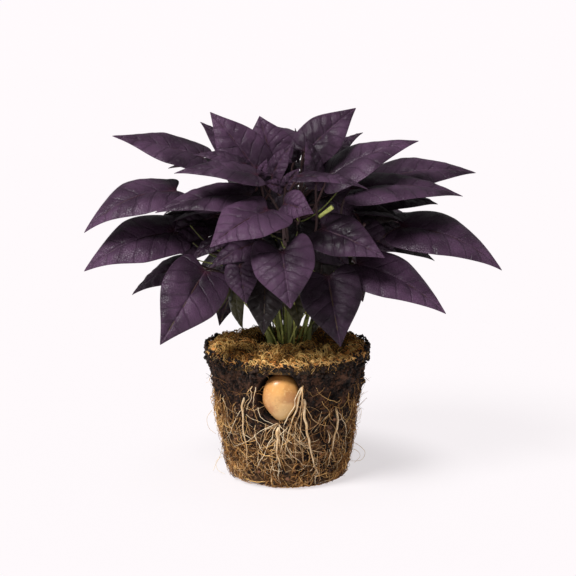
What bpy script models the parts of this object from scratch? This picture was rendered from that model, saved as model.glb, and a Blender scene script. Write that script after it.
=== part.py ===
# An ornamental sweet potato vine lifted out with its root ball, metres, +Z up.
# The ball stands on its flat underside at z = 0 and the front is -Y.
import math
import bpy
import bmesh
import numpy as np
from mathutils.bvhtree import BVHTree

for old_object in list(bpy.data.objects):
    bpy.data.objects.remove(old_object, do_unlink=True)

mm = 0.001
gap = 0.3 * mm

# Root ball: the shape left by a tapered round pot about 15 cm across.
ball_height = 106.0 * mm
ball_top_radius = 69.5 * mm
ball_foot_radius = 50.0 * mm
ball_edge = 8.0 * mm
ball_lip = 3.0 * mm
ball_sides = 48

# Moss and coir lying on top of the ball.
moss_rim_height = 6.0 * mm
moss_crown_height = 10.0 * mm
moss_radius = 68.0 * mm

# Tuber in the hollow at the front: an egg with its wide end up.
tuber_centre = np.array([-5.0, -55.5, 82.0]) * mm
tuber_half = np.array([15.5, 13.0, 20.5]) * mm
hollow_room = 2.5 * mm
hollow_shift = np.array([-0.9, -1.15, 1.3]) * mm

# Viewpoint of the photograph, used only to place leaves and roots.
view_distance = 1590.0 * mm
view_height = 505.0 * mm
view_pitch = math.radians(12.1)
view_scale = 1897.0
view_centre = (287.0, 288.0)

petiole_radius = 1.1 * mm
leaf_thickness = 0.9 * mm
leaf_ratio = 0.66
root_rings = 10

# Each stem: foot x, y on the moss, then the top x, y, z, all in millimetres, and the foot radius.
stem_plan = {
    "stem_left": {"foot": (-14, -3), "top": (-62, -12, 212), "radius": 2.3},
    "stem_left_tall": {"foot": (-6, 8), "top": (-34, 12, 262), "radius": 2.2},
    "stem_front": {"foot": (3, -12), "top": (-4, -46, 236), "radius": 2.3},
    "stem_middle": {"foot": (6, 3), "top": (14, 4, 284), "radius": 2.4},
    "stem_right": {"foot": (18, -3), "top": (66, -8, 222), "radius": 2.3},
    "stem_back": {"foot": (4, 16), "top": (2, 58, 226), "radius": 2.2},
}

# Leaves seen in the photograph. base and tip are picture positions, depth is the distance of
# base and tip behind (+) or before (-) the middle of the ball in millimetres, shown is the
# width seen in the picture. ratio is the real width over the length.
leaf_plan = {
    "leaf_a": {"base": (203, 157), "tip": (112, 136), "depth": (4, -6), "shown": 30, "bow": 0.03},
    "leaf_b": {"base": (176, 191), "tip": (84, 233), "depth": (-20, -44), "shown": 38, "bow": 0.15},
    "leaf_c": {"base": (174, 232), "tip": (84, 271.5), "depth": (-14, -34), "shown": 48, "bow": 0.13},
    "leaf_d": {"base": (190, 262), "tip": (132, 295), "depth": (6, 10), "shown": 22},
    "leaf_e": {"base": (205, 271), "tip": (160, 345), "depth": (-54, -92), "shown": 64},
    "leaf_f": {"base": (216, 219), "tip": (160, 217), "depth": (14, 8), "shown": 22},
    "leaf_g": {"base": (250, 196), "tip": (155, 213), "depth": (-28, -44), "shown": 30},
    "leaf_h": {"base": (257, 176), "tip": (174, 173.5), "depth": (-30, -36), "shown": 19},
    "leaf_i": {"base": (234, 160), "tip": (200, 122), "depth": (20, 34), "shown": 20},
    "leaf_j": {"base": (256, 170), "tip": (210, 112), "depth": (-8, 8), "shown": 48},
    "leaf_k": {"base": (245, 165), "tip": (193, 155), "depth": (-12, -14), "shown": 13},
    "leaf_l": {"base": (273, 163), "tip": (259.5, 116), "depth": (0, 14), "shown": 53},
    "leaf_l2": {"base": (272, 176), "tip": (293, 144), "depth": (-22, -20), "shown": 20, "ratio": 0.7},
    "leaf_m": {"base": (268, 210), "tip": (210, 247.5), "depth": (-66, -98), "shown": 48, "ratio": 0.9, "lobe": 3},
    "leaf_n": {"base": (208, 238), "tip": (161, 251), "depth": (-10, -20), "shown": 30},
    "leaf_o": {"base": (262, 240), "tip": (210, 268), "depth": (-36, -54), "shown": 30},
    "leaf_q": {"base": (240, 267), "tip": (246, 304), "depth": (-66, -82), "shown": 33, "ratio": 0.8, "lobe": 3},
    "leaf_r": {"base": (265, 284), "tip": (263.5, 335), "depth": (-58, -78), "shown": 38, "lobe": 3},
    "leaf_s": {"base": (282, 252), "tip": (290.5, 308.6), "depth": (-88, -118), "shown": 64, "lobe": 5},
    "leaf_t": {"base": (284, 204), "tip": (314, 213.5), "depth": (-64, -84), "shown": 34, "ratio": 0.9, "bow": 0.14},
    "leaf_u": {"base": (322, 229), "tip": (385, 258), "depth": (-50, -76), "shown": 44, "lobe": 3},
    "leaf_v": {"base": (357, 264), "tip": (446, 314), "depth": (-34, -52), "shown": 45, "bow": 0.1},
    "leaf_w": {"base": (401, 227), "tip": (502, 270.6), "depth": (-8, -22), "shown": 43, "bow": 0.13},
    "leaf_x": {"base": (372, 236), "tip": (434.7, 261), "depth": (24, 26), "shown": 20},
    "leaf_z": {"base": (328, 277), "tip": (340.5, 347), "depth": (-58, -88), "shown": 62, "ratio": 0.8, "lobe": 3},
    "leaf_aa": {"base": (306, 152), "tip": (356, 108), "depth": (-14, 4), "shown": 43},
    "leaf_bb": {"base": (316, 184), "tip": (305, 136), "depth": (-42, -34), "shown": 20},
    "leaf_cc": {"base": (333, 155), "tip": (363, 132.5), "depth": (26, 30), "shown": 12},
    "leaf_dd": {"base": (328, 178), "tip": (419, 141), "depth": (-18, -10), "shown": 34},
    "leaf_ee": {"base": (378, 180), "tip": (476, 173), "depth": (16, 24), "shown": 32},
    "leaf_ff": {"base": (352, 190), "tip": (463, 196.5), "depth": (-24, -10), "shown": 28},
    "leaf_gg": {"base": (380, 200), "tip": (438, 204.4), "depth": (32, 36), "shown": 20},
    "leaf_hh": {"base": (299, 177), "tip": (368, 189.5), "depth": (-46, -54), "shown": 10, "ratio": 0.4},
    "leaf_jj": {"base": (357, 212), "tip": (400, 221), "depth": (8, 4), "shown": 22},
    "leaf_kk": {"base": (351, 262), "tip": (318, 270), "depth": (6, 0), "shown": 15},
    "leaf_ll": {"base": (236, 290), "tip": (243, 329), "depth": (-2, -12), "shown": 16},
    "leaf_mm": {"base": (292, 290), "tip": (298, 329), "depth": (-34, -44), "shown": 22},
}

# Leaves on the far side: bearing in degrees (90 is straight back), distance of the base from
# the middle and its height, blade length, droop below level in degrees, roll in degrees.
back_plan = {
    "leaf_back_a": {"bearing": 68, "out": 44, "height": 262, "length": 84, "droop": 8, "roll": 10},
    "leaf_back_b": {"bearing": 112, "out": 50, "height": 250, "length": 88, "droop": 14, "roll": -14},
    "leaf_back_c": {"bearing": 140, "out": 62, "height": 240, "length": 86, "droop": 20, "roll": 12},
    "leaf_back_d": {"bearing": 34, "out": 60, "height": 228, "length": 86, "droop": 20, "roll": -12},
    "leaf_back_e": {"bearing": 90, "out": 66, "height": 212, "length": 88, "droop": 40, "roll": 6},
    "leaf_back_f": {"bearing": 128, "out": 66, "height": 190, "length": 80, "droop": 52, "roll": -10},
    "leaf_back_g": {"bearing": 54, "out": 66, "height": 192, "length": 80, "droop": 50, "roll": 10},
    "leaf_back_h": {"bearing": 92, "out": 58, "height": 172, "length": 66, "droop": 62, "roll": 0},
}

# Thick roots on the outside of the ball: picture positions from top to bottom and radii in millimetres.
root_plan = {
    "root_left": {"path": ((242, 398), (243, 420), (246, 444), (248, 468)), "radius": (1.3, 0.8)},
    "root_main": {"path": ((304, 400), (306, 425), (311, 449), (315, 466), (321, 480)), "radius": (1.7, 0.8)},
    "root_right": {"path": ((337, 408), (335.5, 431), (332, 449), (327, 467)), "radius": (1.4, 0.7)},
    "root_tap": {"path": ((278, 427), (277, 439), (276, 452), (281, 468)), "radius": (1.9, 0.8)},
    "root_edge": {"path": ((219, 392), (222, 415), (224, 440)), "radius": (1.1, 0.7)},
    "root_inner": {"path": ((303, 386), (296, 408), (290, 430), (285, 456)), "radius": (1.2, 0.7)},
}

blade_steps = (0.05, 0.14, 0.26, 0.4, 0.55, 0.7, 0.84, 0.95)
rim_across = np.array([-1.0, -0.5, 0.0, 0.5, 1.0, 0.5, 0.0, -0.5])
rim_side = np.array([0.0, 0.62, 1.0, 0.62, 0.0, -0.62, -1.0, -0.62])


def unit(vector):
    return vector / np.linalg.norm(vector)


def view_axes():
    ahead = np.array([0.0, math.cos(view_pitch), -math.sin(view_pitch)])
    up = np.array([0.0, math.sin(view_pitch), math.cos(view_pitch)])
    return np.array([0.0, -view_distance, view_height]), ahead, up


def sight_line(px, py):
    eye, ahead, up = view_axes()
    across = (px - view_centre[0]) / view_scale
    rise = (view_centre[1] - py) / view_scale
    return eye, ahead + up * rise + np.array([1.0, 0.0, 0.0]) * across


def photo_point(px, py, depth):
    eye, ray = sight_line(px, py)
    return eye + ray * ((depth - eye[1]) / ray[1])


def ball_radius(height):
    return ball_foot_radius + (ball_top_radius - ball_foot_radius) * height / ball_height


def moss_top(radius):
    rise = moss_rim_height + (moss_crown_height - moss_rim_height) * (1 - (radius / moss_radius) ** 2)
    return ball_height + gap + rise


def ball_point(px, py, clearance):
    # Nearest place where the sight line meets the tapered side, kept clear of it.
    eye, ray = sight_line(px, py)
    low = (-120.0 * mm - eye[1]) / ray[1]
    high = (-5.0 * mm - eye[1]) / ray[1]
    for step in np.linspace(low, high, 600):
        place = eye + ray * step
        if math.hypot(place[0], place[1]) <= ball_radius(place[2]) + clearance:
            break
    return place


def bezier(points, t):
    t = np.asarray(t, float)[..., None]
    p0, p1, p2, p3 = points
    return (1 - t) ** 3 * p0 + 3 * (1 - t) ** 2 * t * p1 + 3 * (1 - t) * t ** 2 * p2 + t ** 3 * p3


def stem_curve(plan):
    fx, fy = plan["foot"]
    foot_z = moss_top(math.hypot(fx, fy) * mm) + gap + 0.4 * mm
    foot = np.array([fx * mm, fy * mm, foot_z])
    top = np.array(plan["top"]) * mm
    rise = top[2] - foot[2]
    lean = top - foot
    second = foot + np.array([lean[0] * 0.12, lean[1] * 0.12, rise * 0.4])
    third = foot + np.array([lean[0] * 0.62, lean[1] * 0.62, rise * 0.74])
    return foot, second, third, top


def stem_radius(plan, t):
    return (plan["radius"] * (1 - 0.42 * np.asarray(t))) * mm


def leaf_frame(name, plan, shift):
    # Base, tip, top-side normal and sideways direction of one blade.
    if "base" in plan:
        near, far = plan["depth"]
        base = photo_point(plan["base"][0], plan["base"][1], near * mm + shift)
        tip = photo_point(plan["tip"][0], plan["tip"][1], far * mm + shift)
        along = unit(tip - base)
        length = np.linalg.norm(tip - base)
        eye = view_axes()[0]
        look = eye - (base + tip) / 2
        look = unit(look)
        facing = unit(look - look.dot(along) * along)
        across = np.cross(facing, along)
        seen = plan["shown"] * np.linalg.norm(eye - base) / view_scale
        width = max(length * plan.get("ratio", leaf_ratio), seen)
        turned = math.acos(min(1.0, seen / width))
        outward = np.array([base[0] + tip[0], base[1] + tip[1], 0.0])
        outward = outward / (np.linalg.norm(outward) + 1e-6)
        lean = across[2] + 0.35 * across.dot(outward)
        side = 1.0 if lean > 0 else -1.0
        side = side * plan.get("turn", 1.0)
        normal = facing * math.cos(turned) + across * side * math.sin(turned)
    else:
        bearing = math.radians(plan["bearing"])
        droop = math.radians(plan["droop"])
        radial = np.array([math.cos(bearing), math.sin(bearing), 0.0])
        base = radial * (plan["out"] * mm + shift) + np.array([0.0, 0.0, plan["height"] * mm])
        length = plan["length"] * mm
        along = radial * math.cos(droop) - np.array([0.0, 0.0, math.sin(droop)])
        width = length * plan.get("ratio", 0.7)
        flat = radial * math.sin(droop) + np.array([0.0, 0.0, math.cos(droop)])
        across = np.cross(flat, along)
        roll = math.radians(plan["roll"])
        normal = flat * math.cos(roll) + across * math.sin(roll)
    sideways = np.cross(normal, along)
    return {"base": base, "along": along, "normal": normal, "side": sideways, "length": length,
            "width": width, "bow": plan.get("bow", 0.08), "lobe": plan.get("lobe", 2.2),
            "phase": (len(name) * 7 + ord(name[-1])) % 11}


def blade_point(leaf, t, v):
    # Heart-shaped blade: t runs from the petiole to the tip, v from edge to edge.
    # Outline x = t^1.3 - lobe t (1-t)^4, half width = sin(pi t^0.8)^0.82 with a narrowed tip.
    t = np.asarray(t, float)
    v = np.asarray(v, float)
    edge = np.abs(v)
    reach = t ** 1.3 - leaf["lobe"] * edge * t * (1 - t) ** 4
    narrow = 1 - 0.48 * np.clip((t - 0.55) / 0.45, 0, 1) ** 1.2
    half = leaf["width"] / 2 * np.clip(np.sin(math.pi * t ** 0.8), 0, 1) ** 0.82 * narrow
    arch = np.where(reach > 0, reach * (1 - reach), 0.35 * reach) * 4 * leaf["bow"] * leaf["length"]
    wave = 0.03 * np.sin(2 * math.pi * (1.6 * reach + leaf["phase"] / 11 + 0.2 * v)) * edge ** 2
    lift = arch + half * (0.26 * edge - 0.34 * edge ** 2.4 + wave)
    forward = leaf["along"] * (reach * leaf["length"])[..., None]
    sideways = leaf["side"] * (half * v)[..., None]
    return leaf["base"] + forward + sideways + leaf["normal"] * lift[..., None]


def petiole_curve(leaf, start, out, bend):
    arrive = unit(leaf["along"] * 0.62 + leaf["normal"] * 0.62)
    distance = np.linalg.norm(leaf["base"] - start)
    first = start + out * distance * 0.34 + bend
    second = leaf["base"] - arrive * distance * 0.36 + bend * 0.5
    return start, first, second, leaf["base"]


def leaf_solid(leaf, curve, swell):
    # One closed body: petiole rings from the stem, then blade sections, then the tip.
    steps = np.linspace(0, 1, 6) ** 0.9
    path = bezier(curve, steps)
    rings = []
    side = leaf["side"]
    frames = []
    for index in range(len(path) - 1, -1, -1):
        low = max(index - 1, 0)
        high = min(index + 1, len(path) - 1)
        ahead = unit(path[high] - path[low])
        if index == 0:
            ahead = unit(curve[1] - curve[0])
        side = unit(side - side.dot(ahead) * ahead)
        frames.append((path[index], side, np.cross(ahead, side)))
    turns = np.arange(8) * math.pi / 4
    for place, side, up in reversed(frames):
        radius = petiole_radius + swell
        rings.append(place - np.outer(np.cos(turns), side) * radius + np.outer(np.sin(turns), up) * radius)
    for t in blade_steps:
        centre = blade_point(leaf, np.full(8, t), rim_across)
        half = (leaf_thickness * (1 - 0.45 * t)) / 2 + swell
        spread = rim_side * half
        grow = (np.abs(rim_across) > 0.99) * np.sign(rim_across) * swell
        rings.append(centre + np.outer(spread, leaf["normal"]) + np.outer(grow, leaf["side"]))
    tip = leaf["base"] + leaf["along"] * (leaf["length"] + swell)
    verts = np.vstack(rings + [rings[0].mean(axis=0)[None], tip[None]])
    count = len(rings)
    faces = []
    for ring in range(count - 1):
        for k in range(8):
            here = ring * 8 + k
            beside = ring * 8 + (k + 1) % 8
            faces.append((here, beside, beside + 8, here + 8))
    for k in range(8):
        faces.append((count * 8, (k + 1) % 8, k))
        faces.append((count * 8 + 1, (count - 1) * 8 + k, (count - 1) * 8 + (k + 1) % 8))
    return verts, faces


def tree_of(verts, faces):
    return BVHTree.FromPolygons([tuple(p) for p in verts], faces, all_triangles=False)


def tube_solid(path, radii, sides):
    path = np.asarray(path)
    count = len(path)
    side = np.array([1.0, 0.0, 0.0])
    rings = []
    turns = np.arange(sides) * 2 * math.pi / sides
    for index in range(count):
        ahead = unit(path[min(index + 1, count - 1)] - path[max(index - 1, 0)])
        side = unit(side - side.dot(ahead) * ahead)
        up = np.cross(ahead, side)
        ring = np.outer(np.cos(turns), side) + np.outer(np.sin(turns), up)
        rings.append(path[index] + ring * radii[index])
    verts = np.vstack(rings + [path[:1], path[-1:]])
    faces = []
    for ring in range(count - 1):
        for k in range(sides):
            here = ring * sides + k
            beside = ring * sides + (k + 1) % sides
            faces.append((here, beside, beside + sides, here + sides))
    for k in range(sides):
        faces.append((count * sides, (k + 1) % sides, k))
        faces.append((count * sides + 1, (count - 1) * sides + k, (count - 1) * sides + (k + 1) % sides))
    return verts, faces


def stem_options(base, curves):
    # Places on the stems where the petiole could start, the best first.
    options = []
    for name in curves:
        for t in np.linspace(0.3, 0.96, 12):
            place = bezier(curves[name], t)
            distance = np.linalg.norm(base - place)
            high = max(0.0, place[2] - base[2] + 12 * mm)
            score = abs(distance - 46 * mm) + 1.4 * high
            options.append((score, name, t))
    options.sort()
    return options


def petiole_start(curves, name, t, target):
    place = bezier(curves[name], t)
    tangent = unit(bezier(curves[name], min(t + 0.02, 1)) - bezier(curves[name], t - 0.02))
    out = target - place
    out = unit(out - out.dot(tangent) * tangent)
    clear = stem_radius(stem_plan[name], t) + gap * 1.6
    return place + out * clear, out


def settle_leaves(curves):
    # Leaves that would touch are slid along the line of sight and their petioles bent aside.
    draw = np.random.default_rng(41)
    plans = {**leaf_plan, **back_plan}
    names = list(plans)
    blocks = []
    for name in curves:
        steps = np.linspace(0, 1, 10)
        radii = stem_radius(stem_plan[name], steps) + 0.1 * mm
        blocks.append(tube_solid(bezier(curves[name], steps), radii, 8))
    blocks.append(ball_block())
    fixed = [(tree_of(v, f), v.min(axis=0), v.max(axis=0)) for v, f in blocks]

    def attempt(name, shift, pick, bend):
        leaf = leaf_frame(name, plans[name], shift)
        options = stem_options(leaf["base"], curves)
        score, stem, t = options[min(pick, len(options) - 1)]
        start, out = petiole_start(curves, stem, t, leaf["base"])
        curve = petiole_curve(leaf, start, out, bend)
        verts, faces = leaf_solid(leaf, curve, 0.25 * mm)
        return {"leaf": leaf, "curve": curve, "stem": stem, "tree": tree_of(verts, faces),
                "low": verts.min(axis=0), "high": verts.max(axis=0)}

    def meets(one, name, others):
        found = []
        for other in others:
            if other == name:
                continue
            two = others[other]
            if np.all(one["low"] < two["high"]) and np.all(two["low"] < one["high"]):
                if one["tree"].overlap(two["tree"]):
                    found.append(other)
        for tree, low, high in fixed:
            if np.all(one["low"] < high) and np.all(low < one["high"]):
                if one["tree"].overlap(tree):
                    found.append("fixed")
        return found

    placed = {}
    state = {}
    for name in names:
        state[name] = (0.0, 0, np.zeros(3))
        placed[name] = attempt(name, *state[name])
    for sweep in range(40):
        clashes = {name: len(meets(placed[name], name, placed)) for name in names}
        troubled = [name for name in names if clashes[name]]
        if not troubled:
            break
        reach = min(1.0, 0.25 + sweep * 0.05)
        for name in sorted(troubled, key=lambda key: -clashes[key]):
            best = (len(meets(placed[name], name, placed)), state[name], placed[name])
            if best[0] == 0:
                continue
            for trial in range(18):
                old_shift, old_pick, old_bend = state[name]
                shift = old_shift * 0.8 + draw.normal() * 7 * mm * reach
                pick = int(abs(draw.normal()) * 10 * reach)
                bend = draw.normal(size=3) * 9 * mm * reach
                trying = (shift, pick, bend)
                made = attempt(name, *trying)
                count = len(meets(made, name, placed))
                if count < best[0] or (count == best[0] and draw.random() < 0.3):
                    best = (count, trying, made)
                if best[0] == 0:
                    break
            state[name] = best[1]
            placed[name] = best[2]
    print("leaves still touching:", troubled, "after", sweep, "sweeps")
    largest = max(abs(state[name][0]) for name in names)
    print("largest slide in mm:", round(largest * 1000, 1))
    return placed


def turned_solid(profile, sides):
    # Solid of revolution from (radius, height) pairs; the first and last pair lie on the axis.
    turns = np.arange(sides) * 2 * math.pi / sides
    inner = profile[1:-1]
    verts = []
    for radius, height in inner:
        for turn in turns:
            verts.append((radius * math.cos(turn), radius * math.sin(turn), height))
    verts.append((0.0, 0.0, profile[0][1]))
    verts.append((0.0, 0.0, profile[-1][1]))
    rows = len(inner)
    faces = []
    for row in range(rows - 1):
        for k in range(sides):
            here = row * sides + k
            beside = row * sides + (k + 1) % sides
            faces.append((here, beside, beside + sides, here + sides))
    for k in range(sides):
        faces.append((rows * sides, (k + 1) % sides, k))
        faces.append((rows * sides + 1, (rows - 1) * sides + k, (rows - 1) * sides + (k + 1) % sides))
    return np.array(verts), faces


def ball_profile():
    pairs = [(0.0, 0.0)]
    centre = (ball_foot_radius - ball_edge + 1.2 * mm, ball_edge)
    for turn in np.linspace(-90, -12, 5):
        angle = math.radians(turn)
        pairs.append((centre[0] + ball_edge * math.cos(angle), centre[1] + ball_edge * math.sin(angle)))
    for height in (24.0, 42.0, 60.0, 78.0, 92.0):
        pairs.append((ball_radius(height * mm), height * mm))
    pairs.append((ball_radius(ball_height) - 0.3 * mm, ball_height - ball_lip))
    pairs.append((ball_top_radius - 1.0 * mm, ball_height - 0.8 * mm))
    pairs.append((ball_top_radius - ball_lip, ball_height))
    pairs.append((0.0, ball_height))
    return pairs


def moss_profile():
    low = ball_height + gap
    pairs = [(0.0, low), (moss_radius - 2 * mm, low), (moss_radius, low + 1.6 * mm)]
    for radius in (67.4, 65.0, 55.0, 40.0, 20.0):
        pairs.append((radius * mm, moss_top(radius * mm) - (1.2 * mm if radius > 67 else 0.0)))
    pairs.append((0.0, moss_top(0.0)))
    return pairs


def ball_block():
    # Ball and moss together as one obstacle for the leaves.
    pairs = [(0.0, 0.0)] + [(ball_foot_radius, 0.0), (ball_top_radius + gap, ball_height)]
    pairs += [(moss_radius, moss_top(moss_radius)), (40 * mm, moss_top(40 * mm)), (0.0, moss_top(0.0))]
    return turned_solid(pairs, 32)


def egg_solid(centre, half, rings, sides):
    # Egg: half height half[2], the wide end up, the low end drawn out.
    pairs = []
    for row in range(rings + 1):
        angle = math.pi * row / rings - math.pi / 2
        height = math.sin(angle)
        width = math.cos(angle) * (1 + 0.14 * height - 0.05 * height * height)
        pairs.append((max(width, 0.0), height))
    verts, faces = turned_solid(pairs, sides)
    return verts * half + centre, faces


def material(name, colour, roughness):
    made = bpy.data.materials.new(name)
    made.use_nodes = True
    shader = made.node_tree.nodes["Principled BSDF"]
    shader.inputs["Base Color"].default_value = (*colour, 1.0)
    shader.inputs["Roughness"].default_value = roughness
    shader.inputs["Metallic"].default_value = 0.0
    return made


def add_object(name, verts, faces, made, smooth):
    mesh = bpy.data.meshes.new(name)
    mesh.from_pydata([tuple(float(c) for c in p) for p in verts], [], [tuple(f) for f in faces])
    work = bmesh.new()
    work.from_mesh(mesh)
    bmesh.ops.recalc_face_normals(work, faces=work.faces[:])
    bmesh.ops.triangulate(work, faces=work.faces[:])
    work.to_mesh(mesh)
    work.free()
    mesh.materials.append(made)
    for polygon in mesh.polygons:
        polygon.use_smooth = smooth
    added = bpy.data.objects.new(name, mesh)
    bpy.context.scene.collection.objects.link(added)
    return added


leaf_material = material("leaf_purple", (0.055, 0.030, 0.058), 0.45)
back_material = material("leaf_dark", (0.040, 0.028, 0.042), 0.5)
stem_material = material("stem_green", (0.22, 0.24, 0.09), 0.5)
soil_material = material("potting_mix", (0.035, 0.024, 0.017), 0.95)
moss_material = material("moss", (0.17, 0.13, 0.045), 0.95)
tuber_material = material("tuber_skin", (0.60, 0.36, 0.16), 0.45)
root_material = material("root_pale", (0.62, 0.46, 0.28), 0.7)

ball_verts, ball_faces = turned_solid(ball_profile(), ball_sides)
ball = add_object("root_ball", ball_verts, ball_faces, soil_material, True)

# The hollow for the tuber.
egg_verts, egg_faces = egg_solid(tuber_centre + hollow_shift, tuber_half + hollow_room, 14, 24)
cutter = add_object("hollow_cutter", egg_verts, egg_faces, soil_material, False)
cutter.hide_render = True
cutter.display_type = "WIRE"
cut = ball.modifiers.new("hollow", "BOOLEAN")
cut.operation = "DIFFERENCE"
cut.solver = "EXACT"
cut.object = cutter
graph = bpy.context.evaluated_depsgraph_get()
carved = bpy.data.meshes.new_from_object(ball.evaluated_get(graph))
ball.modifiers.clear()
ball.data = carved
bpy.data.objects.remove(cutter, do_unlink=True)

moss_verts, moss_faces = turned_solid(moss_profile(), 40)
add_object("moss_mat", moss_verts, moss_faces, moss_material, True)

egg_verts, egg_faces = egg_solid(tuber_centre, tuber_half, 14, 24)
add_object("tuber", egg_verts, egg_faces, tuber_material, True)

for name, plan in root_plan.items():
    wide, slim = plan["radius"]
    places = np.array([ball_point(x, y, (wide + 0.45) * mm) for x, y in plan["path"]])
    spans = np.linspace(0, len(places) - 1, root_rings)
    smooth_path = np.stack([np.interp(spans, np.arange(len(places)), places[:, k]) for k in range(3)], axis=1)
    radii = np.linspace(wide, slim, root_rings) * mm
    for index in range(root_rings):
        # Each ring rests just off the tapered side.
        x, y, z = smooth_path[index]
        away = math.hypot(x, y)
        wanted = ball_radius(z) + radii[index] * 1.02 + gap
        smooth_path[index] = (x * wanted / away, y * wanted / away, z)
    root_verts, root_faces = tube_solid(smooth_path, radii, 8)
    add_object(name, root_verts, root_faces, root_material, True)

stem_curves = {name: stem_curve(plan) for name, plan in stem_plan.items()}
for name, curve in stem_curves.items():
    steps = np.linspace(0, 1, 10)
    stem_verts, stem_faces = tube_solid(bezier(curve, steps), stem_radius(stem_plan[name], steps), 8)
    add_object(name, stem_verts, stem_faces, stem_material, True)

for name, found in settle_leaves(stem_curves).items():
    leaf_verts, leaf_faces = leaf_solid(found["leaf"], found["curve"], 0.0)
    chosen = back_material if name in back_plan else leaf_material
    add_object(name, leaf_verts, leaf_faces, chosen, True)

print("objects:", len(bpy.data.objects))
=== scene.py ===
import math

import bpy
import numpy as np
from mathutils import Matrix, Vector


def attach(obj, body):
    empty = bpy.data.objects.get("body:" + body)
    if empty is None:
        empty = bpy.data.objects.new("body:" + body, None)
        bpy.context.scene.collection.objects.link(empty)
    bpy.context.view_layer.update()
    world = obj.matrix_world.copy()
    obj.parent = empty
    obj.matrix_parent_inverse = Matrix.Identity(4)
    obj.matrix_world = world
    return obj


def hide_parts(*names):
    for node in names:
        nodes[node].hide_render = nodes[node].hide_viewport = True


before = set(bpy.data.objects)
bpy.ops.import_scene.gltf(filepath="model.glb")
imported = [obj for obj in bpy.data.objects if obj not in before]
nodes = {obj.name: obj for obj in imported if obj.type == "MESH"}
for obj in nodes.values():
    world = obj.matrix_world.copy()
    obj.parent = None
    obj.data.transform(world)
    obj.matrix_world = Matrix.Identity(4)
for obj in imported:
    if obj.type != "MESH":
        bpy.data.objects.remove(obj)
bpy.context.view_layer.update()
mm = 0.001  # lengths are in metres, and millimetres are written as a number times mm

# The photograph's camera, in metres, and where its axis meets the 576 pixel picture.
photoCamera = {"distance": 1.59, "height": 0.505, "pitch": 12.1, "scale": 1897.0, "centre": (287.0, 288.0)}

# The ball of potting mix, the hollow round the tuber, the moss mat and the tuber, as the CAD has them.
ball = {"height": 0.106, "topRadius": 0.0695, "footRadius": 0.05, "edge": 0.008, "lip": 0.003}
hollow = {"shift": (-0.0020, 0.0020), "half": (0.0200, 0.0240), "depth": 0.027}
moss = {"gap": 0.0003, "rim": 0.006, "crown": 0.010, "radius": 0.068}
tuber = {"centre": (-0.005, -0.0555, 0.082), "half": (0.0155, 0.013, 0.0205), "rings": 60, "sides": 72}


def unit(vector):
    return vector / np.linalg.norm(vector)


def unitRows(rows):
    return rows / (np.linalg.norm(rows, axis=-1, keepdims=True) + 1e-12)


def smoothStep(low, high, value):
    # 0 below low, 1 above high, and 3t^2 - 2t^3 between them.
    t = np.clip((value - low) / (high - low), 0, 1)
    return t * t * (3 - 2 * t)


def sightLine(px, py):
    # The eye and the direction in which it sees one place of the picture.
    pitch = math.radians(photoCamera["pitch"])
    eye = np.array([0.0, -photoCamera["distance"], photoCamera["height"]])
    ahead = np.array([0.0, math.cos(pitch), -math.sin(pitch)])
    up = np.array([0.0, math.sin(pitch), math.cos(pitch)])
    across = (px - photoCamera["centre"][0]) / photoCamera["scale"]
    rise = (photoCamera["centre"][1] - py) / photoCamera["scale"]
    return eye, ahead + up * rise + np.array([1.0, 0.0, 0.0]) * across


def photoPoint(px, py, depth):
    # Where that line of sight passes a given depth, y in metres.
    eye, ray = sightLine(px, py)
    return eye + ray * ((depth - eye[1]) / ray[1])


def putMesh(name, shape, look, marks=None, uv=None):
    # Makes one piece from whole arrays of corners, quads and triangles and lets it ride on the plant.
    # Marks are named values for each corner, and uv is the leaf's own map.
    verts, quads, tris = shape
    quads = np.asarray(quads, np.int32).reshape(-1, 4)
    tris = np.asarray(tris, np.int32).reshape(-1, 3)
    corners = np.concatenate([quads.ravel(), tris.ravel()])
    totals = np.concatenate([np.full(len(quads), 4), np.full(len(tris), 3)])
    starts = np.concatenate([[0], np.cumsum(totals)[:-1]]).astype(np.int32)
    mesh = bpy.data.meshes.new(name)
    mesh.vertices.add(len(verts))
    mesh.vertices.foreach_set("co", np.asarray(verts, np.float32).ravel())
    mesh.loops.add(len(corners))
    mesh.loops.foreach_set("vertex_index", corners)
    mesh.polygons.add(len(totals))
    mesh.polygons.foreach_set("loop_start", starts)
    mesh.update(calc_edges=True)
    mesh.validate()
    mesh.polygons.foreach_set("use_smooth", np.ones(len(mesh.polygons), bool))
    for key, values in (marks or {}).items():
        layer = mesh.attributes.new(key, "FLOAT", "POINT")
        layer.data.foreach_set("value", np.asarray(values, np.float32).ravel())
    if uv is not None:
        mesh.uv_layers.new(name="leafMap").data.foreach_set("uv", np.asarray(uv, np.float32)[corners].ravel())
    mesh.materials.append(look)
    piece = bpy.data.objects.new(name, mesh)
    bpy.context.scene.collection.objects.link(piece)
    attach(piece, "root")
    return piece


def ringQuads(rows, around):
    # Quads between neighbouring rings of `around` points each, closed round the ring.
    row = np.arange(rows - 1)[:, None] * around
    k = np.arange(around)[None]
    beside = (k + 1) % around
    return np.stack([row + k, row + beside, row + around + beside, row + around + k], axis=-1).reshape(-1, 4)


def closedFaces(rows, around, turned=False):
    # Faces of a closed form: its rings, then a fan to the middle point of the first and the last ring,
    # which are the two points that follow the rings.
    quads = ringQuads(rows, around)
    k = np.arange(around)
    beside = (k + 1) % around
    last = (rows - 1) * around
    first = np.stack([np.full(around, rows * around), beside, k], axis=1)
    second = np.stack([np.full(around, rows * around + 1), last + k, last + beside], axis=1)
    tris = np.concatenate([first, second])
    return (quads[:, [0, 3, 2, 1]], tris[:, [0, 2, 1]]) if turned else (quads, tris)


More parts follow.
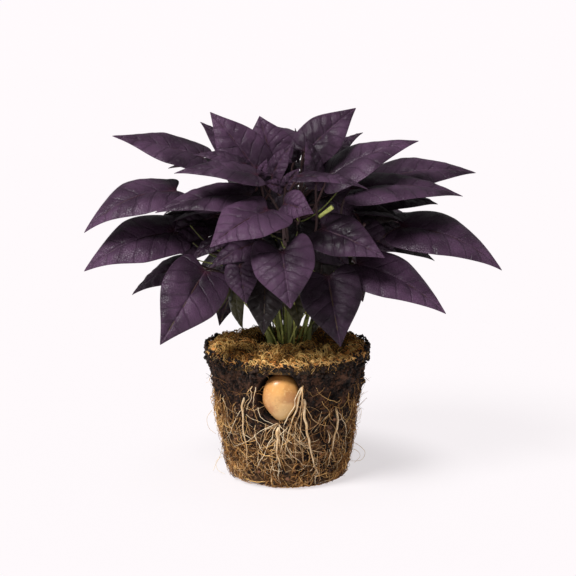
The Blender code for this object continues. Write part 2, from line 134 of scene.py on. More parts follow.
def strandArrays(paths, radii, sides):
    # Many closed tubes at once: paths is (count, steps, 3), radii is (count, steps), and each ring is
    # the path's point plus its radius times side cos a + up sin a.
    count, steps = radii.shape
    ahead = unitRows(np.gradient(paths, axis=1))
    lean = np.where(np.abs(ahead[:, :1, 2:3]) > 0.8, np.array([1.0, 0.0, 0.0]), np.array([0.0, 0.0, 1.0]))
    side = unitRows(np.cross(np.broadcast_to(lean, ahead.shape), ahead))
    up = np.cross(ahead, side)
    turn = np.arange(sides) * 2 * math.pi / sides
    ring = side[:, :, None] * np.cos(turn)[:, None] + up[:, :, None] * np.sin(turn)[:, None]
    verts = (paths[:, :, None] + ring * radii[:, :, None, None]).reshape(-1, 3)
    offsets = (np.arange(count) * steps * sides)[:, None, None]
    allQuads = (ringQuads(steps, sides)[None] + offsets).reshape(-1, 4)
    fan = np.arange(1, sides - 1)
    zero = np.zeros_like(fan)
    last = (steps - 1) * sides
    caps = np.concatenate([np.stack([zero, fan + 1, fan], 1), np.stack([zero, fan, fan + 1], 1) + last])
    allCaps = (caps[None] + offsets).reshape(-1, 3)
    return verts, allQuads, allCaps


def bezier(points, t):
    # Cubic curve with four handles: the sum of binomial (1 - t)^(3 - k) t^k p_k.
    t = np.asarray(t, float)[..., None]
    p0, p1, p2, p3 = points
    return (1 - t) ** 3 * p0 + 3 * (1 - t) ** 2 * t * p1 + 3 * (1 - t) * t ** 2 * p2 + t ** 3 * p3


def lattice(ix, iy, iz, seed):
    # Repeatable random value for each whole-number place.
    mixed = (ix * 374761393 + iy * 668265263 + iz * 2147483647 + seed * 1274126177) & 0xFFFFFFFF
    mixed = ((mixed ^ (mixed >> 13)) * 1274126177) & 0xFFFFFFFF
    return ((mixed ^ (mixed >> 16)) & 0xFFFF) / 65535.0


def softNoise(points, size, seed):
    # Smooth random value in 0..1 that changes over about `size` metres.
    scaled = np.asarray(points) / size + 500.0
    whole = np.floor(scaled).astype(np.int64)
    part = scaled - whole
    part = part * part * (3 - 2 * part)
    total = 0.0
    for corner in np.ndindex(2, 2, 2):
        weight = np.where(corner, part, 1 - part)
        weight = weight[..., 0] * weight[..., 1] * weight[..., 2]
        x, y, z = np.moveaxis(whole + corner, -1, 0)
        total = total + weight * lattice(x, y, z, seed)
    return total


def layeredNoise(points, size, seed, layers=3):
    # Soft noise with finer layers, each half as wide and half as strong as the last.
    total = 0.0
    weight = 0.0
    for layer in range(layers):
        total = total + softNoise(points, size / 2 ** layer, seed + layer) * 0.5 ** layer
        weight += 0.5 ** layer
    return total / weight


def nodeMaker(tree):
    # Gives a function that adds one node with its inputs, which are values or other nodes' sockets.
    def add(kind, inputs=None, **settings):
        node = tree.nodes.new(kind)
        for key, value in settings.items():
            setattr(node, key, value)
        for key, value in (inputs or {}).items():
            if isinstance(value, bpy.types.NodeSocket):
                tree.links.new(value, node.inputs[key])
            else:
                node.inputs[key].default_value = value
        return node
    return add


def mathNode(add, operation, *values):
    return add("ShaderNodeMath", dict(enumerate(values)), operation=operation).outputs[0]


def rangeNode(add, value, low, high, toLow=0.0, toHigh=1.0):
    names = {"Value": value, "From Min": low, "From Max": high, "To Min": toLow, "To Max": toHigh}
    return add("ShaderNodeMapRange", names, interpolation_type="SMOOTHSTEP").outputs["Result"]


def times(add, first, second):
    return mathNode(add, "MULTIPLY", first, second)


def objectPlace(add):
    return add("ShaderNodeTexCoord").outputs["Object"]


def heightOn(add):
    return add("ShaderNodeSeparateXYZ", {"Vector": objectPlace(add)}).outputs[2]


def markOn(add, name):
    # One of the named values that putMesh gives to each corner.
    return add("ShaderNodeAttribute", attribute_name=name).outputs["Fac"]


def mixColour(add, factor, first, second):
    # Sockets of the node's colour mode: 0 is the factor, 6 and 7 the colours, and output 2 the result.
    node = add("ShaderNodeMix", data_type="RGBA")
    tree = node.id_data
    for socket, value in ((node.inputs[0], factor), (node.inputs[6], first), (node.inputs[7], second)):
        if isinstance(value, bpy.types.NodeSocket):
            tree.links.new(value, socket)
        elif isinstance(value, tuple) and len(value) == 3:
            socket.default_value = (*value, 1.0)
        else:
            socket.default_value = value
    return node.outputs[2]


def mottleGroup():
    # Two sizes of soft noise on Object coordinates, shared by every organic material.
    group = bpy.data.node_groups.new("mottle", "ShaderNodeTree")
    for name in ("Coarse Scale", "Fine Scale"):
        group.interface.new_socket(name, in_out="INPUT", socket_type="NodeSocketFloat")
    for name in ("Coarse", "Fine", "Both"):
        group.interface.new_socket(name, in_out="OUTPUT", socket_type="NodeSocketFloat")
    add = nodeMaker(group)
    scales = add("NodeGroupInput").outputs
    place = objectPlace(add)
    noises = [add("ShaderNodeTexNoise", {"Vector": place, "Scale": scale, "Detail": detail})
              for scale, detail in ((scales[0], 3.0), (scales[1], 4.0))]
    coarse, fine = (noise.outputs["Fac"] for noise in noises)
    both = mathNode(add, "ADD", times(add, coarse, 0.5), times(add, fine, 0.5))
    result = add("NodeGroupOutput")
    for index, value in enumerate((coarse, fine, both)):
        group.links.new(value, result.inputs[index])
    return group


# Side veins: distance apart along the midrib in leaf lengths, their slope, and their fan at the base.
veinSpacing = 0.175
veinSlope = 0.80
veinTurn = 0.24


def veinGroup():
    # Vein pattern from the leaf's own map: x runs base to tip and y edge to edge, in leaf lengths.
    # Ahead of the petiole the side veins are lines of equal x - veinSlope |y| + y^2 / 2, and behind it
    # they are lines of equal bearing.
    group = bpy.data.node_groups.new("leafVeins", "ShaderNodeTree")
    for name in ("Side Vein", "Midrib", "Net"):
        group.interface.new_socket(name, in_out="OUTPUT", socket_type="NodeSocketFloat")
    add = nodeMaker(group)
    place = add("ShaderNodeUVMap", uv_map="leafMap").outputs["UV"]
    wobble = add("ShaderNodeTexNoise", {"Vector": place, "Scale": 7.0, "Detail": 2.0}).outputs["Fac"]
    split = add("ShaderNodeSeparateXYZ", {"Vector": place})
    shake = times(add, mathNode(add, "SUBTRACT", wobble, 0.5), 0.09)
    x = mathNode(add, "ADD", split.outputs[0], shake)
    y = mathNode(add, "ABSOLUTE", mathNode(add, "SUBTRACT", split.outputs[1], 0.5))
    forward = mathNode(add, "SUBTRACT", x, times(add, y, veinSlope))
    forward = mathNode(add, "ADD", forward, times(add, times(add, y, y), 0.5))
    angle = mathNode(add, "ARCTAN2", y, x)
    startAngle = math.atan2(1.0, veinSlope)
    fan = times(add, mathNode(add, "SUBTRACT", angle, startAngle), -veinTurn)
    ahead = mathNode(add, "GREATER_THAN", forward, 0.0)
    back = mathNode(add, "SUBTRACT", 1.0, ahead)
    phase = mathNode(add, "ADD", times(add, forward, ahead), times(add, fan, back))
    away = mathNode(add, "PINGPONG", mathNode(add, "DIVIDE", phase, veinSpacing), 0.5)
    sideVein = rangeNode(add, away, 0.0, 0.13, 1.0, 0.0)
    midrib = rangeNode(add, y, 0.0, 0.016, 1.0, 0.0)
    net = add("ShaderNodeTexVoronoi", {"Vector": place, "Scale": 46.0}, feature="DISTANCE_TO_EDGE")
    netLine = rangeNode(add, net.outputs["Distance"], 0.0, 0.09, 1.0, 0.0)
    result = add("NodeGroupOutput")
    for index, value in enumerate((sideVein, midrib, netLine)):
        group.links.new(value, result.inputs[index])
    return group


sharedMottle = mottleGroup()
sharedVeins = veinGroup()


def startMaterial(name, roughness=0.6, specular=0.5):
    made = bpy.data.materials.new(name)
    made.use_nodes = True
    tree = made.node_tree
    shader = tree.nodes["Principled BSDF"]
    shader.inputs["Roughness"].default_value = roughness
    shader.inputs["Specular IOR Level"].default_value = specular
    return made, tree, shader, nodeMaker(tree)


def useGroup(add, group, **values):
    node = add("ShaderNodeGroup", node_tree=group)
    for key, value in values.items():
        node.inputs[key].default_value = value
    return node


def bumpInto(add, tree, shader, height, strength, distance):
    bump = add("ShaderNodeBump", {"Height": height, "Strength": strength, "Distance": distance})
    tree.links.new(bump.outputs["Normal"], shader.inputs["Normal"])


# Linear colours of the leaf's parts, and inner, a painted shade near black for blades deep in the bush.
leafColour = {
    "topDark": (0.015, 0.006, 0.014), "topLight": (0.106, 0.050, 0.102), "veinTop": (0.105, 0.055, 0.098),
    "under": (0.028, 0.013, 0.023), "olive": (0.050, 0.046, 0.014), "veinUnder": (0.075, 0.018, 0.035),
    "petiole": (0.040, 0.018, 0.018), "petioleGreen": (0.150, 0.130, 0.035), "heart": (0.050, 0.005, 0.012),
    "inner": (0.008, 0.005, 0.007),
}


def leafMaterial():
    # Purple to near-black top with darker side veins, painted shade that darkens the blade towards its base,
    # duller underside, olive where the leaf is marked green, and a petiole that is green low down.
    made, tree, shader, add = startMaterial("leafSkin", 0.46, 0.25)
    veins = useGroup(add, sharedVeins)
    mottle = useGroup(add, sharedMottle, **{"Coarse Scale": 34.0, "Fine Scale": 520.0})
    under = markOn(add, "under")
    shade = markOn(add, "shade")
    stalk = markOn(add, "stalk")
    rise = markOn(add, "rise")
    rim = markOn(add, "rim")
    green = markOn(add, "green")
    tone = mathNode(add, "ADD", shade, rangeNode(add, mottle.outputs["Coarse"], 0.3, 0.7, -0.42, 0.30))
    top = mixColour(add, tone, leafColour["topDark"], leafColour["topLight"])
    # Painted shade: the top is darkened towards the base of the blade.
    paintedBaseShade = rangeNode(add, rise, 0.03, 0.55, 0.72, 0.0)
    top = mixColour(add, paintedBaseShade, top, leafColour["topDark"])
    sideLine = times(add, veins.outputs["Side Vein"], 0.34)
    top = mixColour(add, sideLine, top, leafColour["topDark"])
    net = times(add, veins.outputs["Net"], 0.10)
    top = mixColour(add, net, top, leafColour["topDark"])
    midLine = times(add, veins.outputs["Midrib"], 0.55)
    top = mixColour(add, midLine, top, leafColour["veinTop"])
    heart = times(add, rangeNode(add, rise, 0.0, 0.10, 1.0, 0.0), 0.55)
    top = mixColour(add, heart, top, leafColour["heart"])
    # Painted highlight: a lighter line along the rim of the blade, for light caught by the edge.
    paintedRimHighlight = times(add, rangeNode(add, rim, 0.965, 1.0, 0.0, 1.0), 0.35)
    top = mixColour(add, paintedRimHighlight, top, leafColour["veinTop"])
    belowVein = mathNode(add, "MAXIMUM", veins.outputs["Side Vein"], veins.outputs["Midrib"])
    below = mixColour(add, times(add, belowVein, 0.5), leafColour["under"], leafColour["veinUnder"])
    skin = mixColour(add, under, top, below)
    patchy = times(add, green, rangeNode(add, mottle.outputs["Coarse"], 0.25, 0.6, 0.6, 1.0))
    skin = mixColour(add, patchy, skin, leafColour["olive"])
    # Painted shade: blades with a low shade value, deep inside the bush, are darkened towards near black.
    seen = mathNode(add, "MAXIMUM", rangeNode(add, shade, 0.0, 0.35), green)
    skin = mixColour(add, seen, leafColour["inner"], skin)
    lowStalk = rangeNode(add, heightOn(add), 0.135, 0.190, 1.0, 0.0)
    stem = mixColour(add, lowStalk, leafColour["petiole"], leafColour["petioleGreen"])
    skin = mixColour(add, stalk, skin, stem)
    tree.links.new(skin, shader.inputs["Base Color"])
    rough = rangeNode(add, mottle.outputs["Coarse"], 0.3, 0.7, 0.38, 0.52)
    tree.links.new(rough, shader.inputs["Roughness"])
    groove = times(add, veins.outputs["Side Vein"], -0.7)
    groove = mathNode(add, "SUBTRACT", groove, times(add, veins.outputs["Net"], 0.55))
    grain = times(add, mottle.outputs["Fine"], 0.6)
    flat = mathNode(add, "SUBTRACT", 1.0, stalk)
    relief = mathNode(add, "ADD", times(add, groove, flat), grain)
    bumpInto(add, tree, shader, relief, 0.9, 0.0006)
    return made


# Dark, middle and light colour of each kind of strand or crumb.
strandColour = {
    "paleRoot": ((0.28, 0.13, 0.05), (0.66, 0.43, 0.21), (0.95, 0.79, 0.55)),
    "tanRoot": ((0.030, 0.012, 0.005), (0.34, 0.145, 0.036), (0.86, 0.52, 0.19)),
    "mossFibre": ((0.014, 0.008, 0.003), (0.44, 0.210, 0.040), (1.0, 0.68, 0.24)),
    "coirFibre": ((0.035, 0.012, 0.005), (0.80, 0.300, 0.062), (1.0, 0.64, 0.24)),
    "stalkSkin": ((0.030, 0.018, 0.012), (0.13, 0.15, 0.030), (0.52, 0.54, 0.16)),
    "peatCrumb": ((0.008, 0.006, 0.005), (0.055, 0.028, 0.018), (0.330, 0.150, 0.080)),
}


def strandMaterial(name, roughness=0.75):
    # Each strand carries its own tint; soft noise breaks it up along the strand.
    made, tree, shader, add = startMaterial(name, roughness, 0.3)
    tint = markOn(add, "tint")
    mottle = useGroup(add, sharedMottle, **{"Coarse Scale": 160.0, "Fine Scale": 900.0})
    mixed = mathNode(add, "ADD", tint, rangeNode(add, mottle.outputs["Both"], 0.3, 0.7, -0.25, 0.25))
    ramp = add("ShaderNodeValToRGB", {"Fac": mixed})
    dark, middle, light = strandColour[name]
    elements = ramp.color_ramp.elements
    elements[0].color = (*dark, 1.0)
    elements[1].color = (*light, 1.0)
    elements.new(0.5).color = (*middle, 1.0)
    tree.links.new(ramp.outputs["Color"], shader.inputs["Base Color"])
    bumpInto(add, tree, shader, mottle.outputs["Fine"], 0.5, 0.0003)
    return made


def soilMaterial():
    # Dark peat with lit crumbs, rustier towards the foot, and painted shade that makes it nearly black inside
    # the hollow.
    made, tree, shader, add = startMaterial("peatAndSoil", 0.95, 0.2)
    mottle = useGroup(add, sharedMottle, **{"Coarse Scale": 90.0, "Fine Scale": 700.0})
    warm = rangeNode(add, heightOn(add), 0.01, 0.080, 0.80, 0.10)
    lit = rangeNode(add, mottle.outputs["Both"], 0.44, 0.64)
    crumb = mixColour(add, lit, (0.005, 0.0035, 0.003), (0.088, 0.040, 0.026))
    rusty = mixColour(add, rangeNode(add, mottle.outputs["Coarse"], 0.45, 0.62), crumb, (0.14, 0.075, 0.030))
    sunk = markOn(add, "sunk")
    earth = mixColour(add, warm, crumb, rusty)
    # Painted shade: the soil is darkened to near black where the hollow round the tuber sinks in.
    earth = mixColour(add, times(add, sunk, 0.9), earth, (0.008, 0.005, 0.004))
    tree.links.new(earth, shader.inputs["Base Color"])
    bumpInto(add, tree, shader, mottle.outputs["Both"], 1.0, 0.0012)
    return made


def tuberMaterial():
    # Tan skin, redder at the top and on the left, with blotches, pale scuffs and small flat spots.
    made, tree, shader, add = startMaterial("tuberSkin", 0.32, 0.5)
    place = objectPlace(add)
    mottle = useGroup(add, sharedMottle, **{"Coarse Scale": 62.0, "Fine Scale": 480.0})
    split = add("ShaderNodeSeparateXYZ", {"Vector": place})
    top = rangeNode(add, split.outputs[2], 0.064, 0.098)
    skin = mixColour(add, top, (0.72, 0.47, 0.20), (0.80, 0.40, 0.12))
    leftEdge = rangeNode(add, split.outputs[0], -0.021, -0.006, 0.6, 0.0)
    skin = mixColour(add, leftEdge, skin, (0.50, 0.19, 0.055))
    blotch = rangeNode(add, mottle.outputs["Coarse"], 0.46, 0.64, 0.0, 0.68)
    skin = mixColour(add, blotch, skin, (0.44, 0.17, 0.05))
    pale = rangeNode(add, mottle.outputs["Fine"], 0.55, 0.72, 0.0, 0.45)
    skin = mixColour(add, pale, skin, (0.86, 0.60, 0.27))
    squash = add("ShaderNodeMapping", {"Vector": place, "Scale": (1.0, 1.0, 3.0)}).outputs["Vector"]
    spots = add("ShaderNodeTexVoronoi", {"Vector": squash, "Scale": 190.0}).outputs["Distance"]
    spot = rangeNode(add, spots, 0.05, 0.20, 0.55, 0.0)
    skin = mixColour(add, spot, skin, (0.30, 0.15, 0.07))
    tree.links.new(skin, shader.inputs["Base Color"])
    relief = mathNode(add, "SUBTRACT", mottle.outputs["Both"], times(add, spot, 0.6))
    bumpInto(add, tree, shader, relief, 0.5, 0.0004)
    return made


def stemMaterial():
    # Green at the crown, turning purple-brown higher up.
    made, tree, shader, add = startMaterial("stemSkin", 0.5, 0.4)
    mottle = useGroup(add, sharedMottle, **{"Coarse Scale": 120.0, "Fine Scale": 800.0})
    purple = rangeNode(add, heightOn(add), 0.135, 0.200)
    green = mixColour(add, mottle.outputs["Coarse"], (0.15, 0.19, 0.045), (0.29, 0.29, 0.10))
    skin = mixColour(add, purple, green, (0.085, 0.045, 0.045))
    tree.links.new(skin, shader.inputs["Base Color"])
    bumpInto(add, tree, shader, mottle.outputs["Both"], 0.4, 0.0004)
    return made


leafSkin = leafMaterial()
stemSkin = stemMaterial()
tuberSkin = tuberMaterial()
soilLook = soilMaterial()
paleRoot = strandMaterial("paleRoot")
tanRoot = strandMaterial("tanRoot")
mossFibre = strandMaterial("mossFibre")
coirFibre = strandMaterial("coirFibre")
stalkSkin = strandMaterial("stalkSkin", 0.5)
crumbLook = strandMaterial("peatCrumb", 0.9)
print("materials made")


# Foot on the moss, top, and foot radius, in millimetres.
stemPlan = {
    "stem_left": {"foot": (-14, -3), "top": (-62, -12, 212), "radius": 2.3},
    "stem_left_tall": {"foot": (-6, 8), "top": (-34, 12, 262), "radius": 2.2},
    "stem_front": {"foot": (3, -12), "top": (-4, -46, 236), "radius": 2.3},
    "stem_middle": {"foot": (6, 3), "top": (14, 4, 284), "radius": 2.4},
    "stem_right": {"foot": (18, -3), "top": (66, -8, 222), "radius": 2.3},
    "stem_back": {"foot": (4, 16), "top": (2, 58, 226), "radius": 2.2},
}


def mossTop(radius):
    # Height of the mat's top: a shallow dome, highest at its middle.
    rise = moss["rim"] + (moss["crown"] - moss["rim"]) * (1 - (radius / moss["radius"]) ** 2)
    return ball["height"] + moss["gap"] + rise


def risingCurve(foot, top):
    # A stalk that leaves its foot nearly upright and leans out towards its top.
    lean = top - foot
    return foot, foot + lean * np.array([0.12, 0.12, 0.4]), foot + lean * np.array([0.62, 0.62, 0.74]), top


def stemCurve(plan):
    # Handles of one vine, from its foot in the moss to its top.
    fx, fy = plan["foot"]
    foot = np.array([fx * mm, fy * mm, mossTop(math.hypot(fx, fy) * mm) + 0.0007])
    top = np.array(plan["top"]) * mm
    return risingCurve(foot, top)


stemCurves = {name: stemCurve(plan) for name, plan in stemPlan.items()}
for name, curve in stemCurves.items():
    s = np.linspace(0, 1, 90)
    path = bezier(curve, s)
    path[0, 2] -= 0.004
    swell = 1 + 0.16 * np.exp(-((((s * 7) % 1) - 0.5) / 0.09) ** 2)  # a thicker ring at each leaf joint
    radii = stemPlan[name]["radius"] * mm * (1 - 0.42 * s) * swell * (1 + 0.5 * np.exp(-s / 0.02))
    piece = putMesh(name + "_vine", strandArrays(path[None], radii[None], 20), stemSkin)
    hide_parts(name)

# Young stalks of the crown: foot on the moss in millimetres, picture place and depth of the top, radius.
stalkPlan = [
    ((-4, -16), (258, 294), -40, 1.1), ((-1, -18), (286, 290), -42, 1.7), ((3, -17), (301, 290), -38, 1.2),
    ((-8, -13), (244, 302), -30, 0.7), ((8, -13), (324, 296), -30, 0.9), ((12, -9), (332, 302), -18, 0.7),
    ((14, -5), (318, 288), -8, 1.2), ((-11, -8), (238, 292), -6, 0.8), ((-15, -2), (230, 288), 4, 0.7),
    ((17, -2), (348, 290), 0, 0.8), ((19, 3), (332, 286), 8, 0.9), ((-3, -20), (276, 296), -44, 0.8),
    ((1, -20), (314, 302), -40, 0.6), ((-6, -18), (268, 300), -46, 0.7), ((6, -16), (294, 300), -44, 0.8),
]


def stalkPieces():
    # The planned stalks, others all round the crown, and thin petioles inside the foliage.
    chance = np.random.default_rng(15)
    ends = [((x * mm, y * mm), photoPoint(*top, depth * mm), radius)
            for (x, y), top, depth, radius in stalkPlan]
    for bearing in np.radians(np.arange(5, 180, 12)):
        away = np.array([math.cos(bearing), math.sin(bearing)])
        top = np.append(away * chance.uniform(0.034, 0.058), chance.uniform(0.165, 0.215))
        ends.append((away * chance.uniform(0.006, 0.020), top, chance.uniform(0.7, 1.3)))
    curves = []
    for (fx, fy), top, radius in ends:
        foot = np.array([fx, fy, mossTop(math.hypot(fx, fy)) - 0.002])
        curves.append(risingCurve(foot, top))
    radii = [radius for _, _, radius in ends]
    trunks = list(stemCurves.values())
    for index in range(46):
        start = bezier(trunks[index % 6], chance.uniform(0.3, 0.9))
        bearing = chance.uniform(0, 2 * math.pi)
        reach = np.array([math.cos(bearing), math.sin(bearing), chance.uniform(0.2, 0.9)])
        reach = reach * chance.uniform(0.022, 0.042)
        bends = [start + reach * np.array(part) for part in ([0.5, 0.5, 0.2], [0.8, 0.8, 0.7], [1, 1, 1])]
        curves.append((start, *bends))
        radii.append(chance.uniform(0.5, 0.8))
    s = np.linspace(0, 1, 20)
    paths = np.array([bezier(curve, s) for curve in curves])
    thick = np.array(radii)[:, None] * mm * (1 - 0.35 * s)[None]
    shape = strandArrays(paths, thick, 10)
    tint = np.repeat(chance.uniform(0.25, 0.95, len(curves)), 20 * 10)  # 20 rings of 10 corners each
    tint = np.clip(tint - np.clip(shape[0][:, 2] - 0.15, 0, 1) * 2.4, 0.05, 1)
    putMesh("young_stalks", shape, stalkSkin, {"tint": tint})


stalkPieces()
stubPath = np.linspace(photoPoint(319, 217, -56 * mm), photoPoint(332.5, 207, -60 * mm), 12)
stub = strandArrays(stubPath[None], np.linspace(1.5, 1.9, 12)[None] * mm, 14)
putMesh("cut_petiole", stub, stalkSkin, {"tint": np.linspace(0.45, 1.0, len(stub[0]))})
print("stems made")


def seenLeaf(base, tip, depth, shown, shade, **other):
    # Picture places of base and tip, their depths in millimetres behind (+) or before (-) the ball's
    # middle, width seen in the picture, and how light the blade is: partly its own tone and partly painted
    # light and shade for where it sits in the bush. Others: green from 0 to 1, ratio of width to length,
    # bow of the midrib, and lobe, which is how far the base is cut in.
    return {"base": base, "tip": tip, "depth": depth, "shown": shown, "shade": shade, **other}


def farLeaf(bearing, out, height, length, droop, roll, shade):
    # Bearing in degrees (90 is straight back), distance out and height of the base and blade length
    # in millimetres, droop below level and roll in degrees, and how light the blade is, partly its own
    # tone and partly painted shade for its place in the bush.
    return {"bearing": bearing, "out": out, "height": height, "length": length, "droop": droop,
            "roll": roll, "shade": shade}


# Leaves seen in the photograph.
leafPlan = {
    "leaf_a": seenLeaf((203, 157), (112, 136), (4, -6), 30, 0.6, bow=0.03),
    "leaf_b": seenLeaf((176, 191), (84, 233), (-20, -44), 38, 0.72, bow=0.15),
    "leaf_c": seenLeaf((174, 232), (84, 271.5), (-14, -34), 48, 0.67, bow=0.13),
    "leaf_d": seenLeaf((190, 262), (132, 295), (6, 10), 22, 0.3),
    "leaf_e": seenLeaf((205, 271), (160, 345), (-54, -92), 64, 0.59),
    "leaf_f": seenLeaf((216, 219), (160, 217), (14, 8), 22, 0.15, green=0.15),
    "leaf_g": seenLeaf((250, 196), (155, 213), (-28, -44), 30, 0.5),
    "leaf_h": seenLeaf((257, 176), (174, 173.5), (-30, -36), 19, 0.55),
    "leaf_i": seenLeaf((234, 160), (200, 122), (20, 34), 20, 0.4),
    "leaf_j": seenLeaf((256, 170), (210, 112), (-8, 8), 48, 0.8),
    "leaf_k": seenLeaf((245, 165), (193, 155), (-12, -14), 13, 0.5),
    "leaf_l": seenLeaf((273, 163), (259.5, 116), (0, 14), 53, 0.93),
    "leaf_l2": seenLeaf((272, 176), (293, 144), (-22, -20), 20, 0.7, ratio=0.7),
    "leaf_m": seenLeaf((268, 210), (210, 247.5), (-66, -98), 48, 1.0, ratio=0.9, lobe=3),
    "leaf_n": seenLeaf((208, 238), (161, 251), (-10, -20), 30, 0.4),
    "leaf_o": seenLeaf((262, 240), (210, 268), (-36, -54), 30, 0.4),
    "leaf_q": seenLeaf((240, 267), (246, 304), (-66, -82), 33, 0.6, ratio=0.8, lobe=3),
    "leaf_r": seenLeaf((265, 284), (263.5, 335), (-58, -78), 38, 0.16, lobe=3, green=0.3),
    "leaf_s": seenLeaf((282, 252), (290.5, 308.6), (-88, -118), 64, 0.58, lobe=5),
    "leaf_t": seenLeaf((284, 204), (314, 213.5), (-64, -84), 34, 0.9, ratio=0.9, bow=0.14),
    "leaf_u": seenLeaf((322, 229), (385, 258), (-50, -76), 44, 0.4, lobe=3),
    "leaf_v": seenLeaf((357, 264), (446, 314), (-34, -52), 45, 0.78, bow=0.1),
    "leaf_w": seenLeaf((401, 227), (502, 270.6), (-8, -22), 43, 0.7, bow=0.13),
    "leaf_x": seenLeaf((372, 236), (434.7, 261), (24, 26), 20, 0.2, green=0.15),
    "leaf_z": seenLeaf((328, 277), (340.5, 347), (-58, -88), 62, 0.26, ratio=0.8, lobe=3),
    "leaf_aa": seenLeaf((306, 152), (356, 108), (-14, 4), 43, 0.6),
    "leaf_bb": seenLeaf((316, 184), (305, 136), (-42, -34), 20, 0.4),
    "leaf_cc": seenLeaf((333, 155), (363, 132.5), (26, 30), 12, 0.3),
    "leaf_dd": seenLeaf((328, 178), (419, 141), (-18, -10), 34, 0.62),
    "leaf_ee": seenLeaf((378, 180), (476, 173), (16, 24), 32, 0.5),
    "leaf_ff": seenLeaf((352, 190), (463, 196.5), (-24, -10), 28, 0.55),
    "leaf_gg": seenLeaf((380, 200), (438, 204.4), (32, 36), 20, 0.2),
    "leaf_hh": seenLeaf((299, 177), (368, 189.5), (-46, -54), 10, 0.5, ratio=0.4),
    "leaf_jj": seenLeaf((357, 212), (400, 221), (8, 4), 22, 0.15, green=0.4),
    "leaf_kk": seenLeaf((351, 262), (318, 270), (6, 0), 15, 0.1, green=1),
    "leaf_ll": seenLeaf((236, 290), (243, 329), (-2, -12), 16, 0.1, green=1),
    "leaf_mm": seenLeaf((292, 290), (298, 329), (-34, -44), 22, 0.05, green=0.9),
}

# Leaves on the far side.
backPlan = {
    "leaf_back_a": farLeaf(68, 44, 262, 84, 8, 10, 0.5),
    "leaf_back_b": farLeaf(112, 50, 250, 88, 14, -14, 0.55),
    "leaf_back_c": farLeaf(140, 62, 240, 86, 20, 12, 0.45),
    "leaf_back_d": farLeaf(34, 60, 228, 86, 20, -12, 0.5),
    "leaf_back_e": farLeaf(90, 66, 212, 88, 40, 6, 0.6),
    "leaf_back_f": farLeaf(128, 66, 190, 80, 52, -10, 0.5),
    "leaf_back_g": farLeaf(54, 66, 192, 80, 50, 10, 0.5),
    "leaf_back_h": farLeaf(92, 58, 172, 66, 62, 0, 0.4),
}

# Shape of every blade, depths of its relief, and the rings of the CAD blade.
leafMake = {"ratio": 0.66, "backRatio": 0.7, "bow": 0.08, "lobe": 2.2, "thickness": 0.0009, "petiole": 0.0011,
            "quilt": 0.00056, "pucker": 0.0026, "puckerSize": 0.085, "groove": 0.0008, "grooveWidth": 0.0011,
            "rows": 60, "halfColumns": 16, "cadSteps": (0.05, 0.14, 0.26, 0.4, 0.55, 0.7, 0.84, 0.95),
            "cadAcross": (-1.0, -0.5, 0.0, 0.5, 1.0, 0.5, 0.0, -0.5),
            "cadSide": (0.0, 0.62, 1.0, 0.62, 0.0, -0.62, -1.0, -0.62)}


def leafFrame(name, plan, slide):
    # Base, direction, top-side normal, sideways direction and size of one blade; slide moves the
    # leaf along the line of sight, or outward for a leaf on the far side.
    if "base" in plan:
        near, far = plan["depth"]
        base = photoPoint(*plan["base"], near * mm + slide)
        tip = photoPoint(*plan["tip"], far * mm + slide)
        along = unit(tip - base)
        length = np.linalg.norm(tip - base)
        eye = sightLine(0, 0)[0]
        look = unit(eye - (base + tip) / 2)
        facing = unit(look - look.dot(along) * along)
        across = np.cross(facing, along)
        seen = plan["shown"] * np.linalg.norm(eye - base) / photoCamera["scale"]
        width = max(length * plan.get("ratio", leafMake["ratio"]), seen)
        turned = math.acos(min(1.0, seen / width))
        outward = np.array([base[0] + tip[0], base[1] + tip[1], 0.0])
        outward = outward / (np.linalg.norm(outward) + 1e-6)
        side = 1.0 if across[2] + 0.35 * across.dot(outward) > 0 else -1.0
        normal = facing * math.cos(turned) + across * side * math.sin(turned)
    else:
        bearing = math.radians(plan["bearing"])
        droop = math.radians(plan["droop"])
        roll = math.radians(plan["roll"])
        radial = np.array([math.cos(bearing), math.sin(bearing), 0.0])
        base = radial * (plan["out"] * mm + slide) + np.array([0.0, 0.0, plan["height"] * mm])
        length = plan["length"] * mm
        along = radial * math.cos(droop) - np.array([0.0, 0.0, math.sin(droop)])
        width = length * plan.get("ratio", leafMake["backRatio"])
        flat = radial * math.sin(droop) + np.array([0.0, 0.0, math.cos(droop)])
        normal = flat * math.cos(roll) + np.cross(flat, along) * math.sin(roll)
    return {"base": base, "along": along, "normal": normal, "side": np.cross(normal, along),
            "length": length, "width": width, "bow": plan.get("bow", leafMake["bow"]),
            "lobe": plan.get("lobe", leafMake["lobe"]), "phase": (len(name) * 7 + ord(name[-1])) % 11}


def leafReach(leaf, t, edge):
    # How far along the blade a point lies, in leaf lengths: t^1.3 - lobe |v| t (1 - t)^4.
    return t ** 1.3 - leaf["lobe"] * edge * t * (1 - t) ** 4


def leafHalf(leaf, t):
    # Half width: (W / 2) sin(pi t^0.8)^0.82, narrowed towards the tip.
    narrow = 1 - 0.48 * np.clip((t - 0.55) / 0.45, 0, 1) ** 1.2
    return leaf["width"] / 2 * np.clip(np.sin(math.pi * t ** 0.8), 0, 1) ** 0.82 * narrow


